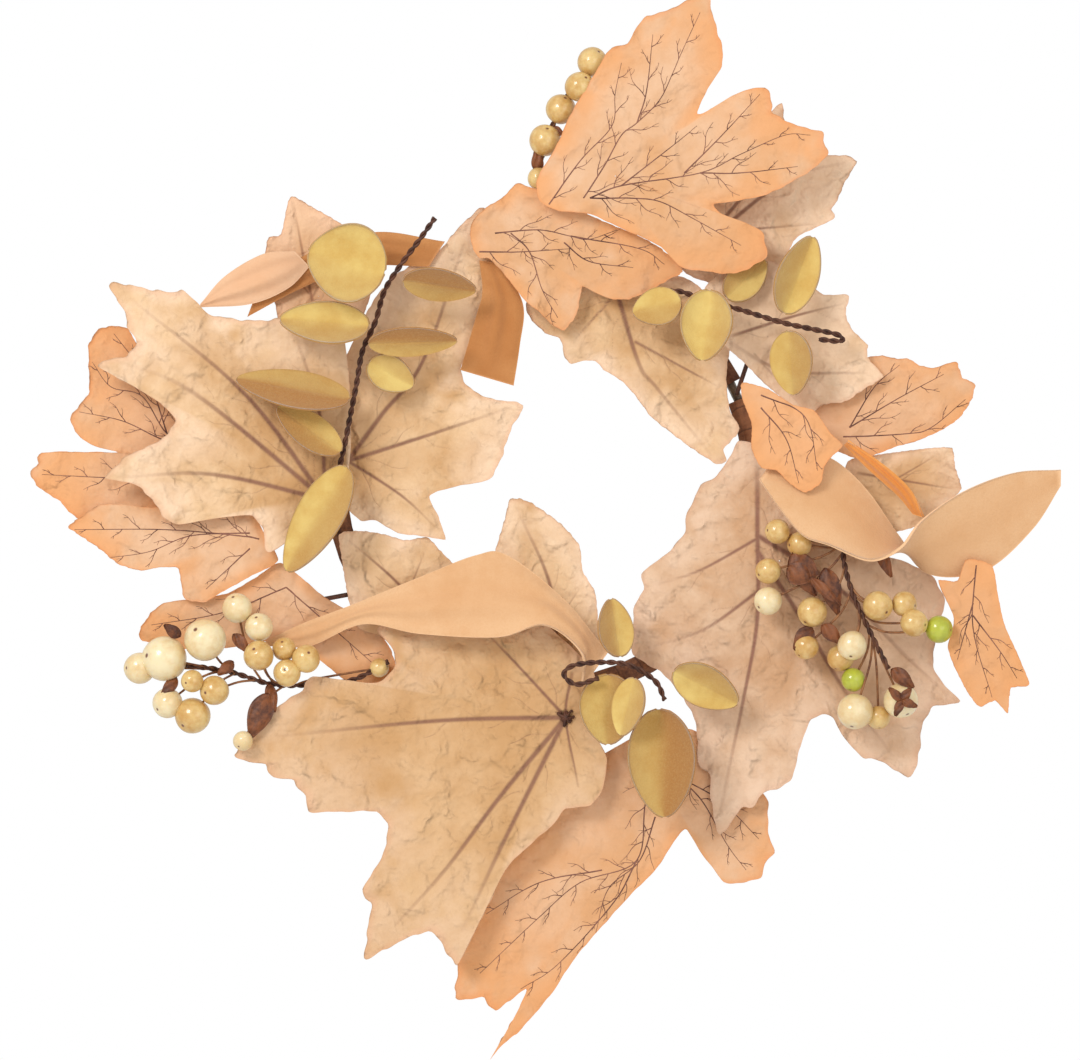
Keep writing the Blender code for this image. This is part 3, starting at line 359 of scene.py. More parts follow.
# Leaves washed over with their rim's tint, from 0 to 1, or with a minus sign with their shade.
# Painted light on the top and upper right maple leaves, painted shade on the bottom left one; dye on the rest.
LEAF_TINT_AND_LIGHT = {
    "right_curled_leaf": 0.75, "right_crumpled_leaf": 0.6, "right_printed_leaf": 0.25, "left_printed_leaf": 0.35,
    "bottom_printed_leaf": 0.15, "top_right_maple_leaf": 0.9, "upper_right_maple_leaf": 0.7,
    "bottom_left_maple_leaf": -0.4,
}

# How deep the cloth of a leaf is crinkled, millimetres; leaves that are not named have the plain depth.
PLAIN_CRINKLE = 0.2
CRINKLE = {"right_crumpled_leaf": 0.45, "right_curled_leaf": 0.12}

# Share of the usual bow that a petal has where a neighbour lies close, and a petal painted brighter than its stock.
PETAL_BOW = {"right_curved_petal": 0.1}
PETAL_LOOK = {"right_orange_petal": "bright_foam"}

# Berries that ripened amber or green, by right and up; the others are cream-white.
AMBER_BERRIES = {
    (-76, -57), (-82, -61.5), (-53, -60), (-105, -67), (-112, -75), (-83, -54), (-91, -56), (-112, -64), (15, 133),
    (11, 125), (5, 118), (0, 108), (-2, 96), (74, -16.5), (81, -20.5), (71, -29), (85, -42), (83, -53), (94, -56.5),
    (105.5, -40), (114, -39.5), (117, -45.5), (106, -75.5)}
GREEN_BERRIES = {(98, -63.5), (125, -47.5)}

# Dry bracts of each berry spray: foot, tip, width and cup, millimetres right, up and forward.
BRACTS = {
    "left_berry_spray": (
        ((-88, -65, 13), (-86, -74, 17), 4, 0.8), ((-88, -68, 16), (-94, -82.5, 18), 8, 1.6),
        ((-116, -50, 20), (-121, -46, 21), 4, 0.6), ((-99, -49, 19), (-94, -55, 20), 4, 0.6),
        ((-99, -58, 18), (-104, -62, 20), 4, 0.8), ((-117, -63, 19), (-122, -69, 20), 4, 0.8)),
    "right_berry_spray": (
        ((77, -28, 22), (85, -32, 22.5), 8, 1.4), ((79, -23, 20), (86, -37, 20.5), 9, 1.4),
        ((89, -28, 21), (93, -43, 21.5), 7, 1.2), ((85, -47, 21.5), (79, -54, 22), 6, 1.0),
        ((88, -46, 24), (94, -52, 24), 5, 0.8),
        ((84, -31, 23.5), (94, -40, 24.5), 3.5, 0.8), ((106, -22, 22), (110, -31, 23), 4, 0.7),
        ((110, -60, 25), (117, -66, 26), 5, 0.9), ((113, -70, 28.3), (109, -66, 28.6), 3, 0.5),
        ((113, -70, 28.3), (118, -72, 28.4), 3, 0.5), ((113, -70, 28.3), (111, -75, 28.4), 3, 0.5),
        ((113, -70, 28.3), (116, -66, 28.5), 3, 0.5)),
    "top_berry_spray": (
        ((-2, 98, 13), (-3, 105, 14), 4, 0.8), ((2, 112, 13), (6, 110, 15), 3, 0.6)),
}

# Where round the hoop, in degrees, the wire foot of a leaf reaches the tape.
LEAF_FEET = {
    "left_maple_leaf": 190,
    "inner_left_maple_leaf": 172,
    "top_left_maple_leaf": 143,
    "left_printed_leaf": 178,
    "lower_left_printed_leaf": 194,
    "berry_side_printed_leaf": 212,
    "inner_lower_left_leaf": 224,
    "inner_bottom_leaf": 265,
    "bottom_left_maple_leaf": 278,
    "bottom_printed_leaf": 290,
    "right_pale_leaf": 357,
    "right_printed_leaf": 8,
    "upper_right_maple_leaf": 24,
    "top_inner_leaf": 55,
    "top_right_maple_leaf": 60,
    "top_lower_printed_leaf": 97,
}

# Colours of each kind of leaf cloth: ground, its shade, toward the rim, the cut edge, the veins; and whether
# its veins are printed as fine lines.
CLOTHS = {
    "cream_cloth": ((0.80, 0.56, 0.34), (0.56, 0.32, 0.14), (0.90, 0.68, 0.50), (0.74, 0.40, 0.26),
                    (0.23, 0.105, 0.075), False),
    "rose_cloth": ((0.76, 0.55, 0.39), (0.57, 0.33, 0.18), (0.82, 0.61, 0.46), (0.70, 0.42, 0.30),
                   (0.23, 0.10, 0.075), False),
    "peach_cloth": ((0.84, 0.58, 0.37), (0.69, 0.39, 0.20), (0.86, 0.58, 0.40), (0.78, 0.40, 0.24),
                    (0.34, 0.165, 0.10), False),
    "printed_cloth": ((0.77, 0.51, 0.335), (0.68, 0.37, 0.18), (0.79, 0.38, 0.16), (0.78, 0.28, 0.10),
                      (0.13, 0.055, 0.05), True),
}
FOAMS = {
    "orange_foam": ((0.58, 0.27, 0.10), (0.45, 0.18, 0.055)),
    # Orange foam brightened with painted light, standing in for light shining through the petal and bounced onto
    # it.
    "bright_foam": ((0.82, 0.36, 0.10), (0.66, 0.23, 0.045)),
    "peach_foam": ((0.77, 0.495, 0.285), (0.66, 0.36, 0.17)),
    "rose_foam": ((0.80, 0.53, 0.35), (0.74, 0.43, 0.25)),
}


def place(points):
    """Turn right, up and forward millimetres from the hoop's centre into world metres."""
    points = np.asarray(points, dtype=float)
    world = np.empty_like(points)
    world[..., 0] = points[..., 0]
    world[..., 1] = -points[..., 2]
    world[..., 2] = points[..., 1] + HOOP_CENTRE_UP
    return world * MM


def mesh_piece(name, points, faces, paint, attributes=None):
    """Make a smooth-shaded piece of placed points and faces, with named values on its points."""
    mesh = bpy.data.meshes.new(name)
    mesh.from_pydata(place(points).tolist(), [], faces.tolist() if hasattr(faces, "tolist") else faces)
    for key, values in (attributes or {}).items():
        layer = mesh.attributes.new(key, "FLOAT", "POINT")
        layer.data.foreach_set("value", np.ascontiguousarray(values, dtype=np.float32))
    mesh.materials.append(paint)
    mesh.shade_smooth()
    piece = bpy.data.objects.new(name, mesh)
    bpy.context.scene.collection.objects.link(piece)
    return piece


def enclosed(points, faces):
    """Return six times the volume that four-cornered faces enclose: positive where they face outward."""
    first, second, third, fourth = (place(points)[faces[:, corner]] for corner in range(4))
    return float(np.sum(first * np.cross(second, third)) + np.sum(first * np.cross(third, fourth)))


def closed_sheet(grid, depth, round_grid=False):
    """Close a grid of front points with a back sheet behind it, and return points and faces.

    The back is the front moved along its normals. The grid's rows run along the sheet. Where it is a round
    grid its columns join up, and its first row is the hub's tiny ring.
    """
    rows, columns, _ = grid.shape
    along = np.gradient(grid, axis=0)
    if round_grid:
        across = np.roll(grid, -1, axis=1) - np.roll(grid, 1, axis=1)
    else:
        across = np.gradient(grid, axis=1)
    normal = np.cross(across, along)
    normal /= np.maximum(np.linalg.norm(normal, axis=2, keepdims=True), 1e-9)
    normal *= np.sign(np.sum(normal[:, :, 2]) or 1.0)
    points = np.vstack((grid.reshape(-1, 3), (grid - normal * depth).reshape(-1, 3)))
    index = np.arange(rows * columns).reshape(rows, columns)
    if round_grid:
        index = np.hstack((index, index[:, :1]))
    front = np.stack((index[:-1, :-1], index[:-1, 1:], index[1:, 1:], index[1:, :-1]), axis=2).reshape(-1, 4)
    behind = rows * columns
    back = front[:, ::-1] + behind
    edges = [np.stack((index[-1, :-1], index[-1, 1:]), axis=1), np.stack((index[0, 1:], index[0, :-1]), axis=1)]
    if not round_grid:
        edges.append(np.stack((index[:-1, 0], index[1:, 0]), axis=1))
        edges.append(np.stack((index[1:, -1], index[:-1, -1]), axis=1))
    rim = np.vstack(edges)
    wall = np.column_stack((rim[:, 1], rim[:, 0], rim[:, 0] + behind, rim[:, 1] + behind))
    faces = np.vstack((front, back, wall))
    if enclosed(points, faces) < 0:
        faces = faces[:, ::-1]
    return points, faces


def ring_walls(rings, sides):
    """Return the points' numbers ring by ring, each ring closed on itself, and the walls between the rings."""
    index = np.arange(rings * sides).reshape(rings, sides)
    index = np.hstack((index, index[:, :1]))
    return index, np.stack((index[:-1, :-1], index[1:, :-1], index[1:, 1:], index[:-1, 1:]), axis=2).reshape(-1, 4)


def facing_out(points, walls, faces):
    """Return the faces, each turned round if the walls lie inside out."""
    return [face[::-1] for face in faces] if enclosed(points, walls) < 0 else faces


def capped_rings(points, rings, sides):
    """Return the faces of a closed stack of rings: its walls and a flat cap on each end."""
    index, walls = ring_walls(rings, sides)
    caps = [tuple(index[0, :-1]), tuple(index[-1, :-1][::-1])]
    return facing_out(points, walls, [tuple(face) for face in walls] + caps)


def smooth_route(route, per_span):
    """Return a cubic curve through the route's points, its slope at each the mean of the spans beside it."""
    knots = np.asarray(route, dtype=float)
    padded = np.vstack((2 * knots[0] - knots[1], knots, 2 * knots[-1] - knots[-2]))
    share = np.linspace(0, 1, per_span, endpoint=False)[:, None]
    spans = []
    for before, start, end, after in zip(padded, padded[1:], padded[2:], padded[3:]):
        slope = (end - before) / 2
        curve = 2 * start - 2 * end + slope + (after - start) / 2
        bend = 3 * (end - start) - 2 * slope - (after - start) / 2
        spans.append(start + share * slope + share**2 * bend + share**3 * curve)
    return np.vstack(spans + [knots[-1:]])


def resample(path, steps):
    """Read a path at the given shares of its length."""
    gaps = np.linalg.norm(np.diff(path, axis=0), axis=1)
    reach = np.concatenate(([0], np.cumsum(gaps)))
    return np.column_stack([np.interp(steps * reach[-1], reach, path[:, axis]) for axis in range(path.shape[1])])


def on_hoop(outward, angle_deg):
    """Return right and up of a point outside the hoop's wire circle by the given distance."""
    angle = math.radians(angle_deg)
    reach = HOOP_RADIUS + outward
    return np.array((reach * math.cos(angle), reach * math.sin(angle)))


# Veins.

def side_veins(route, generator, spacing, longest, spread):
    """Return side veins off a vein: on alternate sides, leaning toward its tip, shorter toward the tip."""
    length = np.sum(np.linalg.norm(np.diff(route, axis=0), axis=1))
    count = max(2, int(length / spacing))
    shares = (np.arange(count) + generator.uniform(0.4, 0.8)) / (count + 0.3)
    starts = resample(route, shares)
    ahead = resample(route, np.minimum(shares + 0.04, 1.0)) - starts
    branches = []
    for number, (start, heading) in enumerate(zip(starts, ahead)):
        side = 1 if number % 2 else -1
        lean = math.atan2(heading[1], heading[0]) + side * math.radians(spread * generator.uniform(0.75, 1.25))
        size = min(longest, 0.42 * length) * (1.1 - 0.75 * shares[number]) * generator.uniform(0.6, 1.1)
        steps = np.linspace(0, 1, 8)
        bend = lean - side * 0.45 * steps + 0.22 * np.sin(steps * 8 + number + start[0])
        hop = np.column_stack((np.cos(bend), np.sin(bend))) * size / 7
        branches.append(np.vstack((start, start + np.cumsum(hop[1:], axis=0))))
    return branches


def vein_tree(leaf_name, printed):
    """Return every vein of a leaf as (route, half width), thinner from main to side veins to twigs."""
    generator = np.random.default_rng(sum(map(ord, leaf_name)))
    tree = []
    for route in VEINS.get(leaf_name, ()):
        main = smooth_route(np.array(route, dtype=float), 8)
        length = np.sum(np.linalg.norm(np.diff(main, axis=0), axis=1))
        tree.append((main, 0.34 if printed else min(1.0, 0.35 + length / 110)))
        for branch in side_veins(main, generator, 5.5 if printed else 10.0, 12.0 if printed else 14.0, 46):
            tree.append((branch, 0.22 if printed else 0.32))
            if printed:
                for twig in side_veins(branch, generator, 3.6, 4.0, 50):
                    tree.append((twig, 0.15))
    return tree


def printed_veins(leaf, piece, body):
    """Draw a printed leaf's veins as fine raised lines that follow its surface and stop at its rim.

    Each line is a low three-sided ridge whose width tapers to a third at its tip.
    """
    surface = BVHTree.FromObject(piece, bpy.context.evaluated_depsgraph_get())
    hub = on_hoop(leaf.outward, leaf.angle)
    parts = []
    for route, width in vein_tree(leaf.name, True):
        length = np.sum(np.linalg.norm(np.diff(route, axis=0), axis=1))
        spots = resample(route, np.linspace(0, 1, max(4, int(length / 0.6)))) + hub
        traced = []
        for right, up in spots:
            start = Vector(place((right, up, 60.0)))
            hit = surface.ray_cast(start, Vector((0.0, 1.0, 0.0)), 0.1)[0]
            if hit is None:
                break
            traced.append((right, up, -hit.y / MM))
        if len(traced) > 2:
            parts.append(vein_ridge(np.array(traced), width))
    if parts:
        extra_piece(leaf.name + "_veins", parts, vein_ink(), leaf.paint, body)


def vein_ridge(path, width):
    """Return a low ridge along a path: its two feet sunk in the cloth and its crest just proud of it."""
    ahead = np.gradient(path[:, :2], axis=0)
    ahead /= np.maximum(np.linalg.norm(ahead, axis=1, keepdims=True), 1e-9)
    taper = width * np.linspace(1.0, 0.33, len(path))[:, None]
    side = np.column_stack((-ahead[:, 1], ahead[:, 0])) * taper
    left = np.column_stack((path[:, :2] + side, path[:, 2] - RIDGE_SINK))
    right = np.column_stack((path[:, :2] - side, path[:, 2] - RIDGE_SINK))
    crest = np.column_stack((path[:, :2], path[:, 2] + RIDGE_CREST))
    points = np.stack((left, crest, right), axis=1).reshape(-1, 3)
    return points, capped_rings(points, len(path), 3)


def vein_field(points, tree):
    """Return how strongly a vein marks each point: one on a vein, falling as a bell curve of the distance."""
    mark = np.zeros(len(points))
    for route, width in tree:
        low = route.min(axis=0) - 3 * width
        high = route.max(axis=0) + 3 * width
        near = np.flatnonzero(np.all((points > low) & (points < high), axis=1))
        if not len(near):
            continue
        spots = points[near]
        best = np.full(len(near), 1e9)
        total = len(route) - 1
        for step in range(total):
            start, run = route[step], route[step + 1] - route[step]
            share = np.clip((spots - start) @ run / max(run @ run, 1e-9), 0, 1)
            gap = np.linalg.norm(spots - start - share[:, None] * run, axis=1)
            taper = width * (1 - 0.45 * (step + share) / total)
            best = np.minimum(best, gap / taper)
        mark[near] = np.maximum(mark[near], np.exp(-(best**2)) * min(1.0, 0.2 + width))
    return mark


# Leaves, petals and spoons.

def leaf_rim(leaf, around):
    """Return a leaf's rim: its outline with slightly bowed sides and a fine, uneven cut edge."""
    corners = np.asarray(leaf.outline, dtype=float)
    if np.sum(corners[:, 0] * np.roll(corners[:, 1], -1) - corners[:, 1] * np.roll(corners[:, 0], -1)) < 0:
        corners = corners[::-1]
    closed = np.vstack((corners[-1:], corners, corners[:2]))
    curved = smooth_route(closed, 10)[10:-10]
    straight = resample(np.vstack((corners, corners[:1])), np.linspace(0, 1, around, endpoint=False))
    rounded = resample(curved, np.linspace(0, 1, around, endpoint=False))
    phase = np.linspace(0, 2 * math.pi, around, endpoint=False)
    rim = 0.45 * straight + 0.55 * rounded
    ripple = 0.004 * np.sin(phase * 41 + leaf.angle) + 0.003 * np.sin(phase * 73)
    return rim * (1 + ripple)[:, None]


def leaf_grid(leaf, around, rings):
    """Return a leaf's front points and their marks: rings of the rim shrinking to the hub.

    Forward is the leaf's tilt and fold, plus soft waves that grow toward the rim, less the veins' hollows.
    """
    rim = leaf_rim(leaf, around)
    shares = np.linspace(0.004, 1, rings)
    local = shares[:, None, None] * rim[None, :, :]
    flat = local.reshape(-1, 2)
    share = np.repeat(shares, around)
    turn = np.arctan2(flat[:, 1], flat[:, 0])
    spread = np.linalg.norm(rim, axis=1).max()
    printed = CLOTHS[leaf.paint][5]
    mark = np.zeros(len(flat)) if printed else vein_field(flat, vein_tree(leaf.name, False))
    waves = np.sin(5 * turn + leaf.angle) * share**2 + 0.6 * np.sin(11 * turn + 2 * leaf.depth) * share**3
    crinkle = np.sin(flat[:, 0] * 0.55 + 1.3 * np.sin(flat[:, 1] * 0.31)) * np.sin(flat[:, 1] * 0.5)
    fold = leaf.fold * (np.hypot(flat[:, 0], 2.0) - 2.0)
    forward = leaf.depth + leaf.tilt[0] * flat[:, 0] + leaf.tilt[1] * flat[:, 1] + fold
    forward += waves * min(0.5, spread * 0.012) + CRINKLE.get(leaf.name, PLAIN_CRINKLE) * crinkle * share
    forward -= VEIN_HOLLOW * mark
    hub = on_hoop(leaf.outward, leaf.angle)
    grid = np.dstack((local + hub, forward.reshape(rings, around)))
    return grid, mark, share


def leaf_piece(leaf, body):
    """Make a maple leaf of thin cloth in place of its plain solid."""
    spread = np.linalg.norm(np.asarray(leaf.outline), axis=1).max()
    around, rings = (400, 100) if spread > 60 else (220, 50)
    grid, mark, share = leaf_grid(leaf, around, rings)
    points, faces = closed_sheet(grid, SEEN_CLOTH, True)
    # One value per leaf: its rim-tint dye, with painted light on two leaves and painted shade on one.
    warmth = np.full(2 * len(mark), LEAF_TINT_AND_LIGHT.get(leaf.name, 0.0))
    marks = {"vein": np.tile(mark, 2), "rim": np.tile(share, 2), "warmth": warmth}
    piece = mesh_piece(leaf.name + "_cloth", points, faces, cloth(leaf.paint), marks)
    if CLOTHS[leaf.paint][5]:
        printed_veins(leaf, piece, body)
    settle(piece, leaf.name, leaf.paint, body)


def petal_piece(entry, body):
    """Make a suede petal: ribs between its two smooth edges, bowed forward in the middle."""
    steps = np.linspace(0, 1, 120)
    near = resample(smooth_route(entry.near, 12), steps)
    far = resample(smooth_route(entry.far, 12), steps)
    shares = np.linspace(0, 1, 40)[None, :, None]
    grid = near[:, None, :] * (1 - shares) + far[:, None, :] * shares
    swell = np.sin(np.pi * shares[:, :, 0]) * np.sin(np.pi * steps)[:, None]
    pleat = np.cos(4 * np.pi * shares[:, :, 0] + 2.2 * steps[:, None]) * np.sin(np.pi * steps)[:, None]
    grid[:, :, 2] += PETAL_BOW.get(entry.name, 1.0) * (1.2 * swell + 0.7 * pleat * np.sin(np.pi * shares[:, :, 0]))
    cross = shares[:, :, 0] + 0 * steps[:, None]
    rim = np.maximum(np.abs(2 * cross - 1), np.abs(2 * steps - 1)[:, None])
    points, faces = closed_sheet(grid, FOAM)
    marks = {"rim": np.tile(rim.ravel(), 2), "cross": np.tile(cross.ravel(), 2)}
    look = PETAL_LOOK.get(entry.name, entry.paint)
    piece = mesh_piece(entry.name + "_suede", points, faces, suede(look), marks)
    settle(piece, entry.name, entry.paint, body)


def spoon_piece(name, spoon, tone, crease, body):
    """Make a eucalyptus leaf: a rounded outline on its mid line, cupped, with a fine midrib groove."""
    foot = np.asarray(spoon.foot, dtype=float)
    tip = np.asarray(spoon.tip, dtype=float)
    ahead = tip - foot
    side = np.array((-ahead[1], ahead[0], 0.0)) / math.hypot(ahead[0], ahead[1])
    share = np.linspace(0, 1, 46)[:, None]
    across = np.linspace(-1, 1, 31)[None, :]
    half = spoon.width / 2 * (0.06 + 0.94 * np.sin(np.pi * share**0.85) ** 0.62)
    swell = half / (spoon.width / 2)
    lift = (spoon.cup * across**2 + spoon.roll * across) * swell - 0.25 * np.exp(-((across / 0.06) ** 2)) * swell
    lift += crease * np.abs(across) ** 1.3 * swell - crease * 0.4
    lift += 0.3 * np.sin(share * 7 + spoon.width) * across * swell
    grid = foot + ahead * share[:, :, None] + side * (across * half)[:, :, None]
    grid[:, :, 2] += lift
    rim = np.abs(across) + 0 * share
    points, faces = closed_sheet(grid, EUCALYPTUS_SHEET)
    # Painted shade: one long half of each leaf darker and the other lighter, added to its tone.
    face = np.clip(tone + 0.28 * np.tanh(4 * across + 1.5 * (share - 0.5)), 0, 1).ravel()
    marks = {"rim": np.tile(rim.ravel(), 2), "under": np.concatenate((face, np.ones(rim.size)))}
    piece = mesh_piece(name + "_velvet", points, faces, velvet(), marks)
    settle(piece, name, "eucalyptus", body)


def settle(piece, node, slot, body):
    """Let a piece stand for its CAD node and ride on its body; its material slot is not used."""
    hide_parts(node)
    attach(piece, body)


def extra_piece(name, parts, paint, slot, body):
    """Make one piece of several closed parts, where no CAD node is replaced."""
    piece = mesh_piece(name, *joined(parts), paint)
    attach(piece, body)


# Wires, stalks, berries and bracts.

def ring_frames(path):
    """Return two unit directions across a path at each of its points, turning with it without twisting."""
    ahead = np.gradient(path, axis=0)
    ahead /= np.linalg.norm(ahead, axis=1, keepdims=True)
    first = np.cross(ahead[0], (0.3, 0.2, 1.0))
    sides = [first / np.linalg.norm(first)]
    for heading in ahead[1:]:
        carried = sides[-1] - heading * (sides[-1] @ heading)
        sides.append(carried / np.linalg.norm(carried))
    side = np.array(sides)
    return side, np.cross(ahead, side)


def tube_mesh(path, radii, sides=10):
    """Return points and faces of a closed tube round a path: a ring at each point, and a cap ring at each end."""
    side, lift = ring_frames(path)
    turns = np.linspace(0, 2 * math.pi, sides, endpoint=False)[None, :, None]
    radii = np.broadcast_to(radii, len(path))
    rings = path[:, None, :] + radii[:, None, None] * (
        np.cos(turns) * side[:, None, :] + np.sin(turns) * lift[:, None, :])
    points = rings.reshape(-1, 3)
    index, walls = ring_walls(len(path), sides)
    caps = []
    for end, ring, flip in ((path[0], index[0], False), (path[-1], index[-1], True)):
        hub = len(points)
        points = np.vstack((points, end))
        for start, stop in zip(ring[:-1], ring[1:]):
            caps.append((hub, stop, start) if flip else (hub, start, stop))
    return points, facing_out(points, walls, [tuple(face) for face in walls] + caps)


def joined(parts):
    """Join parts, each its points and faces, into one list of points and one of faces."""
    points, faces, first = [], [], 0
    for spots, loops in parts:
        points.append(spots)
        faces += [tuple(int(corner) + first for corner in loop) for loop in loops]
        first += len(spots)
    return np.vstack(points), faces


def twisted_strands(route):
    """Return two strands wound round a route, each a helix, half a turn apart."""
    length = np.sum(np.linalg.norm(np.diff(route, axis=0), axis=1))
    path = resample(route, np.linspace(0, 1, max(12, int(length / 0.45))))
    side, lift = ring_frames(path)
    turn = np.linspace(0, length / TWIST_PITCH * 2 * math.pi, len(path))[:, None]
    for shift in (0.0, math.pi):
        strand = path + TWIST_RADIUS * (np.cos(turn + shift) * side + np.sin(turn + shift) * lift)
        yield tube_mesh(strand, TWIST_RADIUS * 1.05, 8)


def wire_piece(name, route, body, node):
    """Make a twisted two-strand wire along a route, in place of its plain solid."""
    points, faces = joined(twisted_strands(smooth_route(route, 8)))
    settle(mesh_piece(name, points, faces, wire()), node, "brown_wire", body)


def berry_mesh(centre, radius, outward, number):
    """Return a berry: a sphere a little longer toward its blossom end, with a dimple and a dark mark there.

    The dimple's depth falls off as a bell curve of the angle from the blossom end.
    """
    rings, sides = 22, 30
    axis = outward / np.linalg.norm(outward)
    side = np.cross(axis, (0.31, 0.9, 0.17))
    side /= np.linalg.norm(side)
    lift = np.cross(axis, side)
    polar = np.linspace(0.03, math.pi - 0.03, rings)[:, None]
    turn = np.linspace(0, 2 * math.pi, sides, endpoint=False)[None, :]
    reach = radius * (1 + 0.03 * np.cos(polar) + 0.012 * np.sin(3 * turn + number) * np.sin(polar))
    reach = reach - radius * 0.10 * np.exp(-((polar / 0.20) ** 2))
    points = centre + (reach * np.cos(polar))[..., None] * axis
    points = points + (reach * np.sin(polar) * np.cos(turn))[..., None] * side
    points = points + (reach * np.sin(polar) * np.sin(turn))[..., None] * lift
    points = points.reshape(-1, 3)
    mark = np.exp(-((np.repeat(polar[:, 0], sides) / 0.17) ** 2))
    return points, capped_rings(points, rings, sides), mark


def bract_mesh(foot, tip, width, cup):
    """Return a dry bract: a narrow pointed sheet, its width following a skewed sine, its sides cupped."""
    foot, tip = np.asarray(foot, dtype=float), np.asarray(tip, dtype=float)
    ahead = tip - foot
    side = np.array((-ahead[1], ahead[0], 0.0)) / max(math.hypot(ahead[0], ahead[1]), 1e-6)
    share = np.linspace(0, 1, 18)[:, None]
    across = np.linspace(-1, 1, 9)[None, :]
    half = width / 2 * (0.05 + 0.95 * np.sin(np.pi * share**0.75) ** 0.9)
    grid = foot + ahead * share[:, :, None] + side * (across * half)[:, :, None]
    grid[:, :, 2] += cup * (1 - across**2) * np.sin(np.pi * share) + 0.25 * np.sin(9 * share + 5 * across)
    points, faces = closed_sheet(grid, BRACT_SHEET)
    return points, faces.tolist()


def berry_spray(spray, body):
    """Make a berry spray: lacquered berries on short stalks, a twisted wire and its dry bracts."""
    route = smooth_route(spray.route, 6)
    bearing = route[int(len(route) * 0.45):]
    berries, marks, tones, stalks = [], [], [], []
    for number, (right, up, forward, radius) in enumerate(spray.berries):
        centre = np.array((right, up, forward), dtype=float)
        nearest = np.argmin(np.linalg.norm(bearing - centre, axis=1))
        root = bearing[max(0, nearest - 5)]
        facing = (centre - root) / max(np.linalg.norm(centre - root), 1e-6) + np.array((0, 0, 0.5))
        tone = ((right, up) in AMBER_BERRIES) + 2 * ((right, up) in GREEN_BERRIES)
        points, faces, mark = berry_mesh(centre, radius, facing, number)
        berries.append((points, faces))
        marks.append(mark)
        tones.append(np.full(len(mark), float(tone)))
        bow = root * 0.7 + centre * 0.3 + (bearing[-1] - bearing[0]) * 0.05
        stalk = smooth_route((root, bow, centre), 5)
        stalks.append(tube_mesh(stalk, STALK_RADIUS, 7))
    values = {"calyx": np.concatenate(marks), "tone": np.concatenate(tones)}
    piece = mesh_piece(spray.name + "_berries", *joined(berries), lacquer(), values)
    settle(piece, spray.name, "berry", body)
    bracts = [bract_mesh(*entry) for entry in BRACTS[spray.name]]
    for name, parts, paint in (("_twig", twisted_strands(route), wire()), ("_stalks", stalks, stalk_skin()),
                               ("_bracts", bracts, dry_bract())):
        extra_piece(spray.name + name, parts, paint, "brown_wire", body)


# Finishes.

def blank(name):
    """Start a material, and return it with its tree and its surface node."""
    paint = bpy.data.materials.new(name)
    paint.use_nodes = True
    tree = paint.node_tree
    tree.nodes.clear()
    output = tree.nodes.new("ShaderNodeOutputMaterial")
    surface = tree.nodes.new("ShaderNodeBsdfPrincipled")
    tree.links.new(surface.outputs["BSDF"], output.inputs["Surface"])
    return paint, tree, surface


def add(tree, kind, settings=None, **inputs):
    """Add a node with its settings, and set or link the inputs given by name, underscores standing for spaces."""
    node = tree.nodes.new(kind)
    for key, value in (settings or {}).items():
        setattr(node, key, value)
    for key, value in inputs.items():
        feed(tree, node.inputs[key.replace("_", " ")], value)
    return node


def feed(tree, socket, value):
    """Link another node's output into a socket, or set the socket to a constant."""
    if isinstance(value, bpy.types.NodeSocket):
        tree.links.new(value, socket)
    elif isinstance(value, tuple) and len(value) == 3 and socket.type == "RGBA":
        socket.default_value = (*value, 1.0)
    else:
        socket.default_value = value


def maths(tree, operation, first, second=0.0, third=0.0, clamp=False):
    """Return the result of a calculation on values."""
    node = tree.nodes.new("ShaderNodeMath")
    node.operation = operation
    node.use_clamp = clamp
    for socket, value in zip(node.inputs, (first, second, third)):
        feed(tree, socket, value)
    return node.outputs[0]


def blend(tree, factor, first, second):
    """Return a colour between two colours."""
    node = tree.nodes.new("ShaderNodeMix")
    node.data_type = "RGBA"
    feed(tree, node.inputs["Factor"], factor)
    feed(tree, node.inputs["A"], first)
    feed(tree, node.inputs["B"], second)
    return node.outputs["Result"]


def ramp(tree, value, low, high, bottom=0.0, top=1.0):
    """Return a value spread from low..high to bottom..top, clamped."""
    node = add(tree, "ShaderNodeMapRange", {"interpolation_type": "SMOOTHSTEP"}, Value=value)
    for key, number in (("From Min", low), ("From Max", high), ("To Min", bottom), ("To Max", top)):
        node.inputs[key].default_value = number
    return node.outputs["Result"]


def object_points(tree):
    """Return the coordinates of the piece itself."""
    return tree.nodes.new("ShaderNodeTexCoord").outputs["Object"]


def stored(tree, key):
    """Return the value stored on a piece's points under a name."""
    return add(tree, "ShaderNodeAttribute", {"attribute_name": key}).outputs["Fac"]


def group(name, inputs, outputs):
    """Start a node group with named inputs and outputs: (name, kind, default). Return it with its two ends."""
    tree = bpy.data.node_groups.new(name, "ShaderNodeTree")
    for label, kind, default in inputs:
        socket = tree.interface.new_socket(label, in_out="INPUT", socket_type="NodeSocket" + kind)
        socket.default_value = (*default, 1.0) if kind == "Color" else default
    for label, kind in outputs:
        tree.interface.new_socket(label, in_out="OUTPUT", socket_type="NodeSocket" + kind)
    return tree, tree.nodes.new("NodeGroupInput"), tree.nodes.new("NodeGroupOutput")


def use(tree, name, **inputs):
    """Add a shared effect to a material."""
    return add(tree, "ShaderNodeGroup", {"node_tree": bpy.data.node_groups[name]}, **inputs)


